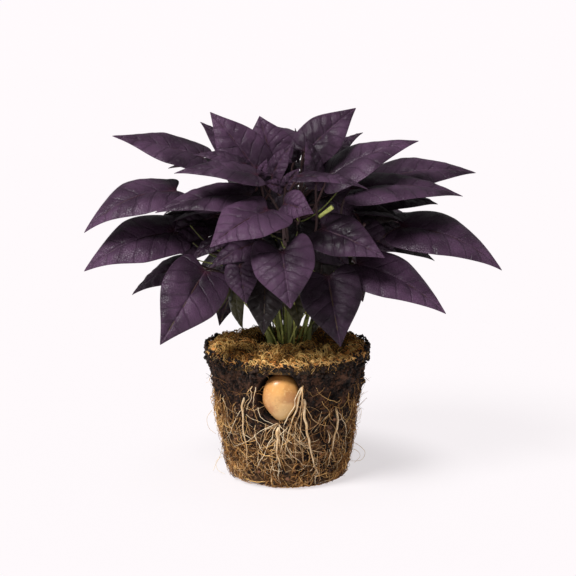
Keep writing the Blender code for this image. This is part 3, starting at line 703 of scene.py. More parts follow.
def bladePoint(leaf, t, v):
    # Arched midrib, halves that rise from it and roll down at the edges, and a slow wave.
    t = np.asarray(t, float)
    v = np.asarray(v, float)
    edge = np.abs(v)
    reach = leafReach(leaf, t, edge)
    half = leafHalf(leaf, t)
    arch = np.where(reach > 0, reach * (1 - reach), 0.35 * reach) * 4 * leaf["bow"] * leaf["length"]
    wave = 0.03 * np.sin(2 * math.pi * (1.6 * reach + leaf["phase"] / 11 + 0.2 * v)) * edge ** 2
    lift = arch + half * (0.26 * edge - 0.34 * edge ** 2.4 + wave)
    forward = leaf["along"] * (reach * leaf["length"])[..., None]
    sideways = leaf["side"] * (half * v)[..., None]
    return leaf["base"] + forward + sideways + leaf["normal"] * lift[..., None]


def quilting(reach, across):
    # 0 on a side vein and 1 midway between two, in the same pattern as the vein group.
    y = np.abs(across)
    forward = reach - veinSlope * y + 0.5 * y * y
    fan = -veinTurn * (np.arctan2(y, reach) - math.atan2(1.0, veinSlope))
    phase = np.where(forward > 0, forward, fan) / veinSpacing
    return 0.5 - 0.5 * np.cos(2 * math.pi * phase)


def bladeArrays(leaf):
    # Closed blade: rows from petiole to tip, columns across the top and back across the underside.
    a = np.linspace(0, 1, leafMake["halfColumns"] + 1)
    halfAcross = a - 0.115 * np.sin(2 * math.pi * a)
    across = np.concatenate([-halfAcross[:0:-1], halfAcross])
    columns = len(across)
    t = np.linspace(0.012, 0.996, leafMake["rows"])[:, None]
    v = across[None] * np.ones_like(t)
    t = t * np.ones_like(v)
    middle = bladePoint(leaf, t, v)
    normal = unitRows(np.cross(np.gradient(middle, axis=1), np.gradient(middle, axis=0)))
    if (normal[30, columns // 2] @ leaf["normal"]) < 0:
        normal = -normal
    edge = np.abs(v)
    reach = leafReach(leaf, t, edge)
    sideways = leafHalf(leaf, t) * v / leaf["length"]
    fade = np.sin(math.pi * np.clip(t, 0, 1)) ** 0.5 * (1 - edge ** 6)
    relief = leafMake["quilt"] * quilting(reach, sideways) * fade * np.clip(edge * 5, 0, 1)
    spot = np.stack([reach * 0.9, sideways, reach * 0 + leaf["phase"]], -1)
    relief = relief + leafMake["pucker"] * (layeredNoise(spot, leafMake["puckerSize"], 13, 2) - 0.5) * fade
    groove = np.exp(-((sideways * leaf["length"] / leafMake["grooveWidth"]) ** 2)) * leafMake["groove"] * fade
    centre = middle + normal * (relief - groove)[..., None]
    thick = leafMake["thickness"] * (0.62 - 0.25 * t) * np.sqrt(np.clip(1 - edge ** 3, 0, 1)) / 2 + 0.00006
    top = centre + normal * thick[..., None]
    bottom = centre - normal * thick[..., None]
    loop = np.concatenate([top, bottom[:, -2:0:-1]], axis=1)
    below = np.ones_like(t[:, -2:0:-1])
    markUnder = np.concatenate([np.zeros_like(t), below], axis=1)
    markRise = np.concatenate([np.hypot(reach, sideways), below], axis=1)
    markRim, mapX, mapY = (np.concatenate([part, part[:, -2:0:-1]], axis=1)
                           for part in (edge, reach, sideways + 0.5))
    rows, around = loop.shape[:2]
    tip = leaf["base"] + leaf["along"] * leaf["length"]
    verts = np.concatenate([loop.reshape(-1, 3), loop[0].mean(axis=0)[None], tip[None]])
    quads, tris = closedFaces(rows, around, True)
    marks = {"under": np.append(markUnder, [0.0, 0.0]), "rim": np.append(markRim, [0.5, 0.5]),
             "rise": np.append(markRise, [0.5, 0.5])}
    uv = np.stack([np.append(mapX, [0, 1]), np.append(mapY, [0.5, 0.5])], axis=1)
    return verts, quads, tris, marks, uv


def outwardFlip(verts, quads, tris):
    # True where the faces point inwards.
    split = np.concatenate([quads[:, [0, 1, 2]], quads[:, [0, 2, 3]], tris])
    a, b, c = verts[split[:, 0]], verts[split[:, 1]], verts[split[:, 2]]
    return np.einsum("ij,ij->i", a - verts.mean(axis=0), np.cross(b - a, c - a)).sum() < 0


def leafPiece(name, leaf, curve, shade, green, replaced=None):
    # Blade, and a petiole that runs on under the blade as its midrib.
    verts, quads, tris, marks, uv = bladeArrays(leaf)
    if outwardFlip(verts, quads, tris):
        quads = quads[:, ::-1]
        tris = tris[:, ::-1]
    bladeCount = len(verts)
    stalkPath = bezier(curve, np.linspace(0, 1, 26))
    t = np.linspace(0.06, 0.93, 22)
    ribRadius = leafMake["petiole"] * (0.75 - 0.55 * t)
    rib = bladePoint(leaf, t, np.zeros_like(t)) - leaf["normal"] * (ribRadius * 0.5 + 0.0006)[:, None]
    path = np.concatenate([stalkPath[:-1], rib])
    radii = np.concatenate([np.linspace(1.0, 0.85, 25) * leafMake["petiole"], ribRadius])
    stalkVerts, stalkQuads, stalkTris = strandArrays(path[None], radii[None], 10)
    allVerts = np.concatenate([verts, stalkVerts])
    allQuads = np.concatenate([quads, stalkQuads + bladeCount])
    allTris = np.concatenate([tris, stalkTris + bladeCount])
    extra = len(stalkVerts)
    isRib = np.repeat(np.arange(len(path)) >= 25, 10)
    marks["under"] = np.concatenate([marks["under"], np.ones(extra)])
    marks["rim"] = np.concatenate([marks["rim"], np.zeros(extra)])
    marks["rise"] = np.concatenate([marks["rise"], np.ones(extra)])
    marks["stalk"] = np.concatenate([np.zeros(bladeCount), np.where(isRib, 0.6, 1.0)])
    marks["shade"] = np.full(bladeCount + extra, shade)
    marks["green"] = np.full(bladeCount + extra, green)
    uv = np.concatenate([uv, np.tile([[0.5, 0.5]], (extra, 1))])
    piece = putMesh(name, (allVerts, allQuads, allTris), leafSkin, marks, uv)
    if replaced:
        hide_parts(replaced)


def cadPoints(name):
    # The different corners of a CAD node.
    mesh = nodes[name].data
    flat = np.empty(len(mesh.vertices) * 3)
    mesh.vertices.foreach_get("co", flat)
    return np.unique(np.round(flat.reshape(-1, 3), 6), axis=0)


def slideFromCad(name, plan):
    # The CAD leaf's tip lies on a line; how far along it gives the slide.
    points = cadPoints(name)
    if "base" in plan:
        first = photoPoint(*plan["tip"], plan["depth"][1] * mm)
        ray = sightLine(*plan["tip"])[1]
        step = ray / ray[1]
    else:
        leaf = leafFrame(name, plan, 0.0)
        first = leaf["base"] + leaf["along"] * leaf["length"]
        step = unit(leaf["base"] * np.array([1.0, 1.0, 0.0]))
    offset = points - first
    along = offset @ step / step.dot(step)
    miss = np.linalg.norm(offset - along[:, None] * step, axis=1)
    return float(along[np.argmin(miss)]), float(miss.min())


def petioleFromCad(name, leaf):
    # Rings of the CAD petiole, found as groups of close points, give its curve.
    points = cadPoints(name)
    known = [leaf["base"] + leaf["along"] * leaf["length"]]
    for t in leafMake["cadSteps"]:
        half = leafMake["thickness"] * (1 - 0.45 * t) / 2
        ring = bladePoint(leaf, np.full(8, t), leafMake["cadAcross"])
        ring = ring + np.outer(np.array(leafMake["cadSide"]) * half, leaf["normal"])
        known.extend(ring)
    known = np.array(known)
    away = np.linalg.norm(points[:, None] - known[None], axis=2).min(axis=1)
    rest = points[away > 0.00006]
    label = np.arange(len(rest))
    close = np.linalg.norm(rest[:, None] - rest[None], axis=2) < 0.00125
    for sweep in range(10):
        label = np.where(close, label[None], len(rest)).min(axis=1)
    centres = [rest[label == value].mean(axis=0) for value in np.unique(label)]
    ordered = [leaf["base"]]
    while centres:
        gaps = [np.linalg.norm(centre - ordered[-1]) for centre in centres]
        ordered.append(centres.pop(int(np.argmin(gaps))))
    ordered = np.array(ordered[1:][::-1])
    s = np.linspace(0, 1, len(ordered)) ** 0.9
    basis = np.stack([3 * (1 - s) ** 2 * s, 3 * (1 - s) * s ** 2], axis=1)
    fixed = np.outer((1 - s) ** 3, ordered[0]) + np.outer(s ** 3, ordered[-1])
    handles = np.linalg.lstsq(basis, ordered - fixed, rcond=None)[0]
    return ordered[0], handles[0], handles[1], ordered[-1]


# Leaves inside the bush, the youngest ones, and those that fill its sides, placed as the others are.
fillPlan = {
    "inner_a": seenLeaf((262, 200), (230, 230), (0, -14), 36, 0.2),
    "inner_b": seenLeaf((300, 205), (334, 238), (12, 0), 36, 0.2),
    "inner_c": seenLeaf((288, 186), (258, 216), (18, 8), 40, 0.15),
    "inner_d": seenLeaf((330, 198), (372, 226), (10, 4), 36, 0.25),
    "inner_e": seenLeaf((238, 206), (198, 236), (22, 14), 38, 0.2),
    "inner_f": seenLeaf((318, 236), (350, 268), (-6, -20), 38, 0.2),
    "inner_g": seenLeaf((250, 236), (222, 272), (-4, -18), 38, 0.2),
    "inner_h": seenLeaf((296, 222), (304, 266), (4, -10), 44, 0.1),
    "inner_i": seenLeaf((342, 178), (386, 200), (34, 36), 40, 0.25),
    "inner_j": seenLeaf((268, 186), (236, 170), (10, 12), 30, 0.35),
    "inner_k": seenLeaf((310, 180), (336, 158), (0, 6), 32, 0.35),
    "inner_l": seenLeaf((287, 184), (286, 154), (24, 30), 28, 0.2),
    "inner_m": seenLeaf((276, 256), (262, 296), (-16, -30), 36, 0.1),
    "inner_n": seenLeaf((322, 262), (318, 304), (-14, -24), 36, 0.05, green=0.4),
    "inner_o": seenLeaf((356, 228), (396, 252), (0, -4), 34, 0.25),
    "inner_p": seenLeaf((222, 238), (191, 262), (-34, -44), 16, 0.4),
    "inner_q": seenLeaf((338, 192), (304, 204), (14, 8), 30, 0.1),
    "inner_r": seenLeaf((372, 214), (408, 236), (20, 18), 28, 0.15),
    "inner_s": seenLeaf((214, 217), (168, 232), (6, 0), 34, 0.25),
    "inner_t": seenLeaf((272, 214), (278, 250), (10, 0), 40, 0.05),
    "inner_u": seenLeaf((340, 224), (330, 256), (14, 6), 40, 0.05),
    "inner_v": seenLeaf((316, 178), (322, 202), (24, 18), 36, 0.05),
    "young_a": seenLeaf((261, 176), (267, 159), (-34, -34), 11, 0.95),
    "young_b": seenLeaf((318, 308), (311, 336), (0, -8), 11, 0.0, green=1),
    "young_c": seenLeaf((226, 290), (217.6, 313), (0, -4), 11, 0.0, green=1),
    "young_d": seenLeaf((296, 160), (295, 128), (-6, 0), 8, 0.4),
    "young_e": seenLeaf((283, 188), (262, 182), (-30, -36), 14, 0.7),
    "young_f": seenLeaf((286, 186), (300, 168), (-34, -34), 14, 0.6),
    "side_a": farLeaf(5, 56, 228, 66, 18, 14, 0.4),
    "side_b": farLeaf(172, 56, 228, 72, 20, -14, 0.4),
    "side_c": farLeaf(42, 50, 198, 72, 44, -8, 0.4),
    "side_d": farLeaf(140, 50, 198, 72, 46, 8, 0.4),
    "side_e": farLeaf(76, 52, 238, 88, 24, -20, 0.55),
    "side_f": farLeaf(100, 34, 276, 80, -8, 8, 0.5),
    "side_g": farLeaf(152, 40, 262, 78, 2, -16, 0.5),
    "side_h": farLeaf(46, 46, 256, 80, 4, 18, 0.5),
    "side_i": farLeaf(118, 60, 214, 82, 34, 16, 0.5),
    "side_j": farLeaf(36, 58, 206, 78, 38, -16, 0.45),
    "side_k": farLeaf(78, 50, 176, 62, 60, 10, 0.35),
    "side_l": farLeaf(136, 52, 168, 60, 58, -10, 0.35),
}


def stemStart(base):
    # The place on a stem from which a petiole would reach this base best.
    best = (9.0, None, None)
    for stemName, curve in stemCurves.items():
        for t in np.linspace(0.3, 0.96, 24):
            place = bezier(curve, t)
            distance = np.linalg.norm(base - place)
            score = abs(distance - 0.040) + 1.4 * max(0.0, place[2] - base[2] + 0.012)
            if score < best[0]:
                best = (score, stemName, t)
    return bezier(stemCurves[best[1]], best[2])


for name, plan in fillPlan.items():
    leaf = leafFrame(name, plan, 0.0)
    start = stemStart(leaf["base"])
    reach = np.linalg.norm(leaf["base"] - start)
    out = unit(leaf["base"] - start + np.array([0.0, 0.0, 0.3 * reach]))
    arrive = unit(leaf["along"] * 0.62 + leaf["normal"] * 0.62)
    curve = (start, start + out * reach * 0.34, leaf["base"] - arrive * reach * 0.36, leaf["base"])
    leafPiece(name, leaf, curve, plan["shade"], plan.get("green", 0.0))

worstMiss = 0.0
for name, plan in {**leafPlan, **backPlan}.items():
    slide, miss = slideFromCad(name, plan)
    worstMiss = max(worstMiss, miss)
    leaf = leafFrame(name, plan, slide)
    curve = petioleFromCad(name, leaf)
    leafPiece(name + "_blade", leaf, curve, plan["shade"], plan.get("green", 0.0), name)
print("leaves made, largest miss in mm", round(worstMiss * 1000, 4))


draw = np.random.default_rng(8)  # one run of chance for the ball, moss and roots, in this order


def ballRadius(z):
    # Straight taper, rounded by quarter circles at its foot and, more narrowly, at its lip.
    slope = ball["footRadius"] + (ball["topRadius"] - ball["footRadius"]) * z / ball["height"]
    low = np.clip((ball["edge"] - z) / ball["edge"], 0, 1)
    high = np.clip((z - ball["height"] + ball["lip"]) / ball["lip"], 0, 1)
    foot = ball["edge"] * (1 - np.sqrt(1 - low ** 2))
    return slope - foot - ball["lip"] * (1 - np.sqrt(1 - high ** 2 * 0.96))


def hollowDepth(x, y, z):
    # How far the surface is pushed in round the tuber: full inside an ellipse, none outside it.
    fromX = (x - tuber["centre"][0] - hollow["shift"][0]) / hollow["half"][0]
    fromZ = (z - tuber["centre"][2] - hollow["shift"][1]) / hollow["half"][1]
    inside = smoothStep(1.0, 0.80, np.sqrt(fromX ** 2 + fromZ ** 2))
    return np.where(y < 0, inside * hollow["depth"], 0)


def ballSurface(theta, z):
    # Side of the ball with lumps and crumbs, as a function of bearing and height.
    radius = ballRadius(z)
    x, y = radius * np.cos(theta), radius * np.sin(theta)
    spot = np.stack([x, y, z], axis=-1)
    lumps = (layeredNoise(spot, 0.013, 3, 3) - 0.5) * 0.0078
    crumbs = (layeredNoise(spot, 0.0036, 9, 2) - 0.5) * 0.0052
    flatFoot = smoothStep(0.0, 0.006, z)
    radius = radius + (lumps + crumbs) * flatFoot - hollowDepth(x, y, z) - 0.0012
    return np.stack([radius * np.cos(theta), radius * np.sin(theta), z], axis=-1)


def ballPiece():
    # Rings up the side and in over the top, on the bearings and heights of ballSurface.
    around, rows = 380, 150
    theta = np.arange(around) * 2 * math.pi / around
    z = np.concatenate([[0.0], 0.0004 + (ball["height"] - 0.0004) * np.linspace(0, 1, rows - 1)])
    grid = ballSurface(theta[None] * np.ones((rows, 1)), z[:, None] * np.ones((1, around)))
    grid[0, :, 2] = 0.0
    shrink = np.linspace(0.96, 0.0, 16)[:-1]
    top = grid[-1][None] * np.array([1, 1, 1.0])
    caps = np.concatenate([top * np.array([s, s, 1.0]) for s in shrink])
    grid = np.concatenate([grid, caps])
    verts = np.concatenate([grid.reshape(-1, 3), [[0, 0, 0]], [[0, 0, ball["height"]]]])
    # sunk marks the hollow, where the soil material paints shade.
    sunk = smoothStep(0.004, 0.016, hollowDepth(*verts.T))
    shape = (verts, *closedFaces(len(grid), around))
    piece = putMesh("root_ball_soil", shape, soilLook, {"sunk": sunk})
    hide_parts("root_ball")


ballPiece()


def mossBumps(x, y):
    # Clumps of the mat, in metres, fading out at the rim.
    spot = np.stack([x, y, x * 0], axis=-1)
    clumps = (layeredNoise(spot, 0.011, 31, 3) - 0.45) * 0.0085
    tufts = (layeredNoise(spot, 0.0028, 37, 2) - 0.5) * 0.0030
    return (clumps + tufts) * smoothStep(0.069, 0.062, np.hypot(x, y))


def latheGrid(radius, theta, z):
    # A profile of radius and height carried round the upright axis.
    radius, z = radius[:, None], z[:, None]
    return np.stack([radius * np.cos(theta), radius * np.sin(theta), z * np.ones(len(theta))], -1)


def mossPiece():
    # Lumpy mat: a disc of rings that rises to the crown and rounds down at its rim.
    around, rows = 220, 60
    theta = np.arange(around) * 2 * math.pi / around
    s = np.linspace(0.01, 1, rows)
    radius = np.clip(s / 0.9, 0, 1) * (moss["radius"] + 0.001)
    z = mossTop(radius)
    z = z - smoothStep(0.86, 1.0, s) * 0.007
    spot = latheGrid(radius, theta, z)
    spot[..., 2] += mossBumps(spot[..., 0], spot[..., 1])
    wide = 1 + (layeredNoise(spot, 0.012, 41, 2) - 0.5) * 0.05 * smoothStep(0.7, 0.95, s)[:, None]
    spot[..., 0] *= wide
    spot[..., 1] *= wide
    under = spot[-1][None] * np.array([0.9, 0.9, 1.0])
    under[..., 2] = ball["height"] - 0.001
    grid = np.concatenate([spot, under])
    verts = np.concatenate([grid.reshape(-1, 3), [[0, 0, mossTop(0.0)]], [[0, 0, ball["height"] - 0.001]]])
    shape = (verts, *closedFaces(len(grid), around, True))
    rimDark = smoothStep(0.058, 0.066, np.hypot(verts[:, 0], verts[:, 1]))
    tint = softNoise(verts, 0.009, 55) * (1 - 0.8 * rimDark) * 0.30
    piece = putMesh("moss_mat_top", shape, mossFibre, {"tint": tint})
    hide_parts("moss_mat")


mossPiece()


def tuberPiece():
    # Egg with its wide end up and a few shallow dimples: half width cos a times 1 + 0.16 sin a, less a
    # little at both ends, for heights sin a.
    rings, sides = tuber["rings"], tuber["sides"]
    angle = math.pi * np.linspace(0.012, 0.988, rings) - math.pi / 2
    height = np.sin(angle)
    width = np.cos(angle) * (1 + 0.16 * height - 0.05 * height ** 2 - 0.10 * np.clip(-height, 0, 1) ** 2)
    theta = np.arange(sides) * 2 * math.pi / sides
    half = np.array(tuber["half"])
    grid = latheGrid(width, theta, height) * half + np.array(tuber["centre"])
    dimple = (layeredNoise(grid, 0.011, 71, 2) - 0.55) * 0.0016
    out = unitRows(grid - np.array(tuber["centre"]))
    grid = grid + out * dimple[..., None]
    verts = np.concatenate([grid.reshape(-1, 3), grid[0].mean(axis=0)[None], grid[-1].mean(axis=0)[None]])
    piece = putMesh("tuber_skin", (verts, *closedFaces(rings, sides)), tuberSkin)
    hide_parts("tuber")


tuberPiece()
print("ball, moss and tuber made")


# Picture places from top to bottom and radii in millimetres.
rootPlan = {
    "root_left": {"path": ((242, 398), (243, 420), (246, 444), (248, 468)), "radius": (1.3, 0.8)},
    "root_main": {"path": ((304, 400), (306, 425), (311, 449), (315, 466), (321, 480)), "radius": (1.7, 0.8)},
    "root_right": {"path": ((337, 408), (335.5, 431), (332, 449), (327, 467)), "radius": (1.4, 0.7)},
    "root_tap": {"path": ((278, 427), (277, 439), (276, 452), (281, 468)), "radius": (1.9, 0.8)},
    "root_edge": {"path": ((219, 392), (222, 415), (224, 440)), "radius": (0.7, 0.4), "tint": 0.3},
    "root_inner": {"path": ((303, 386), (296, 408), (290, 430), (285, 456)), "radius": (1.2, 0.7)},
}


def ballSpot(px, py):
    # Where a line of sight meets the tapered side, as bearing and height.
    eye, ray = sightLine(px, py)
    steps = np.linspace((-0.12 - eye[1]) / ray[1], (-0.005 - eye[1]) / ray[1], 1500)
    places = eye + ray * steps[:, None]
    side = ballRadius(np.clip(places[:, 2], 0, ball["height"]))
    inside = np.hypot(places[:, 0], places[:, 1]) <= side + 0.001
    place = places[np.argmax(inside)]
    return math.atan2(place[1], place[0]), place[2]


def smoothPath(spots, steps):
    # Catmull-Rom curve through a few spots.
    spots = np.asarray(spots, float)
    padded = np.concatenate([[2 * spots[0] - spots[1]], spots, [2 * spots[-1] - spots[-2]]])
    s = np.linspace(0, len(spots) - 1 - 1e-9, steps)
    whole = s.astype(int)
    t = (s - whole)[:, None]
    a, b, c, d = (padded[whole + k] for k in range(4))
    square, cube = 2 * a - 5 * b + 4 * c - d, 3 * b - a - 3 * c + d
    return 0.5 * (2 * b + (c - a) * t + square * t ** 2 + cube * t ** 3)


def onSide(theta, z, lift):
    # The place at a bearing and height that stands so far off the plain side.
    radius = ballRadius(np.clip(z, 0.0, ball["height"])) + lift
    return np.stack([radius * np.cos(theta), radius * np.sin(theta), z], axis=-1)


# Each thick root keeps to its route with a slight wobble, tapers, and goes into the ball at its top.
rootRoutes = {}
for name, plan in rootPlan.items():
    spots = [ballSpot(*place) for place in plan["path"]]
    path = smoothPath(spots, 46)
    rootRoutes[name] = path
    wobble = (softNoise(np.stack([path[:, 1] * 3, path[:, 0] * 0.05, path[:, 1]], -1), 0.02, len(name)) - 0.5)
    theta = path[:, 0] + wobble * 0.05
    wide, slim = plan["radius"]
    radii = 0.88 * (wide + (slim * 0.45 - wide) * np.linspace(0, 1, 46) ** 0.8) * mm
    radii = radii * (1 + 0.22 * (softNoise(np.stack([path[:, 1]] * 3, -1), 0.004, 5) - 0.5))
    radii[:3] *= np.array([0.45, 0.75, 0.95])
    radii[-6:] *= np.linspace(1, 0.35, 6)
    sunk = 0.0022 * np.exp(-((np.arange(46) / 4.0) ** 2))
    places = onSide(theta, np.maximum(path[:, 1], 0.0015), radii * 0.5 + 0.0008 - sunk)
    shape = strandArrays(places[None], radii[None], 14)
    tint = np.full(len(shape[0]), plan.get("tint", 0.62))
    piece = putMesh(name + "_skin", shape, paleRoot, {"tint": tint})
    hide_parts(name)


def wanderStrands(theta0, z0, heading, length, wander, lift, thickness, steps=10):
    # Rootlets that start at given bearings and heights and wander over the side; heading is in
    # radians from straight down and turns by `wander` degrees at every step.
    count = len(theta0)
    turn = heading[:, None] + np.cumsum(np.radians(draw.normal(0, wander, (count, steps))), axis=1)
    step = (draw.uniform(*length, count) / (steps - 1))[:, None]
    z = z0[:, None] - np.cumsum(np.cos(turn) * step, axis=1)
    z = np.clip(z, 0.0012, ball["height"] + 0.002)
    theta = theta0[:, None] + np.cumsum(np.sin(turn) * step, axis=1) / 0.06
    s = np.linspace(0, 1, steps)[None]
    arcs = np.abs(np.sin(math.pi * (s * draw.uniform(0.8, 2.4, count)[:, None])))
    off = draw.uniform(*lift, count)[:, None] * arcs - 0.0008
    sag = hollowDepth(np.cos(theta) * 0.06, np.sin(theta) * 0.06, z)
    paths = onSide(theta, z, off - sag * 0.2)
    thick = draw.uniform(*thickness, count)[:, None] * (1 - 0.6 * s)
    return paths, thick


def sideStrands(count, bearing, spread, high, length, heading, wander, lift, thickness, clumped=3):
    # Scattered rootlets, kept where a soft noise is high so that they lie in clumps.
    theta = np.radians(bearing + draw.uniform(-1, 1, count * clumped) * spread)
    z = draw.uniform(*high, count * clumped)
    liking = softNoise(onSide(theta, z, 0.0), 0.015, 77) + draw.uniform(0, 0.22, count * clumped)
    kept = np.argsort(-liking)[:count]
    turn = np.radians(draw.normal(0, heading, count))
    return wanderStrands(theta[kept], z[kept], turn, length, wander, lift, thickness)


def sideBranches(route, count, length, thickness):
    # Fine branches that leave a thick root, alternately left and right.
    at = (draw.uniform(0.12, 0.98, count) * (len(route) - 1)).astype(int)
    turn = np.radians(draw.uniform(22, 60, count)) * np.where(np.arange(count) % 2, 1, -1)
    return wanderStrands(route[at, 0], route[at, 1], turn, length, 14, (0.0010, 0.0030), thickness)


def looseEnds(count, high, length, lift, thickness, steps=10):
    # Rootlets whose far ends stand free of the side.
    theta = draw.uniform(0, 2 * math.pi, count)
    z = draw.uniform(*high, count)
    turn = draw.normal(0, 1.1, count)
    paths, thick = wanderStrands(theta, z, turn, length, 20, (0.0, 0.001), thickness, steps)
    away = draw.uniform(*lift, count)[:, None] * np.linspace(0, 1, steps)[None] ** 1.6
    out = paths * np.array([1.0, 1.0, 0.0])
    return paths + unitRows(out) * away[..., None], thick


def strandPiece(name, batches, sides, look, tints, clumps=0.0):
    # One piece from several batches of paths; clumps is how far a soft noise darkens whole tufts, partly as
    # their own tone and partly as painted shade among the tufts.
    allPaths = np.concatenate([batch[0] for batch in batches])
    allRadii = np.concatenate([batch[1] for batch in batches])
    steps = allRadii.shape[1]
    chance = draw.uniform(*tints, len(allRadii))
    # The darkened tufts are partly their own tone and partly painted shade.
    tuftToneAndShade = np.clip((softNoise(allPaths[:, steps // 2], 0.011, 91) - 0.5) * 3.2 + 0.5, 0, 1)
    tint = np.repeat(np.clip(chance * (1 - clumps + clumps * tuftToneAndShade), 0, 1), steps * sides)
    putMesh(name, strandArrays(allPaths, allRadii, sides), look, {"tint": tint})


# Thin roots seen in the photograph: picture places from start to end, radius in millimetres.
thinPlan = [
    (((303, 386), (294, 404), (284, 430), (279, 452)), 0.45),
    (((304, 387), (299, 412), (294, 440), (296, 458)), 0.4),
    (((303, 386), (302, 414), (300, 444), (304, 462)), 0.45),
    (((277, 424), (266, 436), (258, 450), (246, 460)), 0.35),
    (((277, 424), (270, 442), (262, 458), (258, 468)), 0.35),
    (((278, 425), (284, 440), (292, 454), (304, 466)), 0.35),
    (((278, 425), (281, 446), (284, 458), (292, 470)), 0.3),
    (((276, 424), (262, 430), (250, 440), (236, 446)), 0.3),
    (((278, 424), (290, 434), (304, 446), (318, 452)), 0.3),
    (((255, 388), (255, 396), (253, 404), (255, 412)), 0.36),
    (((251, 387), (252, 394), (250, 402), (247, 410)), 0.34),
    (((248, 390), (249, 398), (246, 404), (243, 412)), 0.3),
    (((257, 408), (261, 416), (267, 421), (274, 424)), 0.28),
    (((212, 456), (218, 464), (224, 470), (232, 474)), 0.35),
    (((214, 448), (217, 458), (216, 468), (222, 476)), 0.3),
    (((339, 412), (343, 422), (345, 434), (344, 452)), 0.3),
    (((222, 396), (227, 404), (228, 418), (234, 430)), 0.3),
    (((305, 406), (312, 418), (320, 424), (330, 426)), 0.3),
    (((243, 408), (236, 420), (232, 432), (226, 440)), 0.25),
]


# Rootlets that stand clear of the ball's outline in the photograph: picture places and depth in millimetres.
loopPlan = [
    (((346, 440), (357, 444), (365, 452), (361, 460), (350, 461)), 4, 0.26),
    (((347, 448), (356, 450), (360, 456), (354, 463)), -6, 0.22),
    (((223, 446), (220, 456), (216, 464), (213, 471)), -4, 0.26),
    (((222, 456), (216, 462), (218, 470), (225, 474)), -10, 0.22),
    (((355, 404), (361, 410), (360, 418), (354, 424)), 0, 0.2),
    (((212, 410), (207, 418), (209, 428), (216, 434)), 0, 0.2),
]


def looseLoops():
    # The planned loops as smooth paths that thin towards their ends.
    s = np.linspace(0, 1, 24)
    paths = [smoothPath([photoPoint(*place, depth * mm) for place in places], 24)
             for places, depth, _ in loopPlan]
    radii = [radius * mm * (1 - 0.4 * s) for _, _, radius in loopPlan]
    return np.array(paths), np.array(radii)


def thinStrands():
    # The planned thin roots, which rise off the side and dip back in two or three shallow arcs.
    paths, radii = [], []
    s = np.linspace(0, 1, 24)
    for index, (places, radius) in enumerate(thinPlan):
        route = smoothPath([ballSpot(*place) for place in places], 24)
        reach = min(1.0, abs(places[-1][1] - places[0][1]) / 55.0)
        shake = reach * (softNoise(np.stack([s * 0.05, s * 0 + index, s * 0], -1), 0.006, 21) - 0.5)
        lift = 0.0010 + 0.0018 * np.abs(np.sin(s * 5 + index)) - 0.0030 * np.exp(-((s / 0.07) ** 2))
        paths.append(onSide(route[:, 0] + shake * 0.05, np.maximum(route[:, 1], 0.0015), lift))
        radii.append(radius * mm * (1 - 0.55 * s))
    return np.array(paths), np.array(radii)


# Fine roots. Each batch gives how many, middle bearing and its spread in degrees, heights, lengths,
# spread of the heading and its wander in degrees, lift off the side, and thickness.
front = -90
strandPiece("fine_roots_brown", [
    sideStrands(420, front, 180, (0.006, 0.094), (0.008, 0.026), 50, 26, (0.0006, 0.003), (0.00014, 0.0003)),
], 4, tanRoot, (0.0, 0.7), 0.6)
strandPiece("fine_roots_tan", [
    sideStrands(340, front, 180, (0.004, 0.07), (0.01, 0.036), 36, 22, (0.0008, 0.0036), (0.00018, 0.00042)),
    sideStrands(150, front, 75, (0.004, 0.042), (0.012, 0.040), 42, 24, (0.001, 0.0042), (0.0002, 0.00048)),
    sideStrands(140, front, 180, (0.002, 0.014), (0.01, 0.036), 80, 28, (0.001, 0.0048), (0.0002, 0.0005)),
    sideStrands(110, 195, 30, (0.015, 0.080), (0.018, 0.045), 22, 16, (0.0014, 0.0050), (0.00018, 0.00036)),
    sideStrands(90, -15, 28, (0.015, 0.080), (0.018, 0.045), 24, 18, (0.0014, 0.0050), (0.00018, 0.00036)),
    looseEnds(480, (0.002, 0.095), (0.008, 0.024), (0.0020, 0.0075), (0.00012, 0.00028)),
], 4, tanRoot, (0.0, 1.35), 0.5)
strandPiece("fine_roots_pale", [
    sideStrands(80, front, 180, (0.02, 0.078), (0.02, 0.050), 26, 16, (0.0012, 0.0034), (0.00014, 0.0003)),
    sideStrands(40, -82, 26, (0.025, 0.070), (0.015, 0.045), 22, 15, (0.0016, 0.0040), (0.00016, 0.00034)),
    sideStrands(70, -78, 75, (0.008, 0.045), (0.015, 0.040), 45, 22, (0.0016, 0.0045), (0.00015, 0.00030)),
    *[sideBranches(route, 14, (0.008, 0.026), (0.00014, 0.00030)) for route in rootRoutes.values()],
], 4, paleRoot, (0.0, 0.9))
strandPiece("thin_roots_front", [thinStrands(), looseLoops()], 6, paleRoot, (0.3, 0.95))


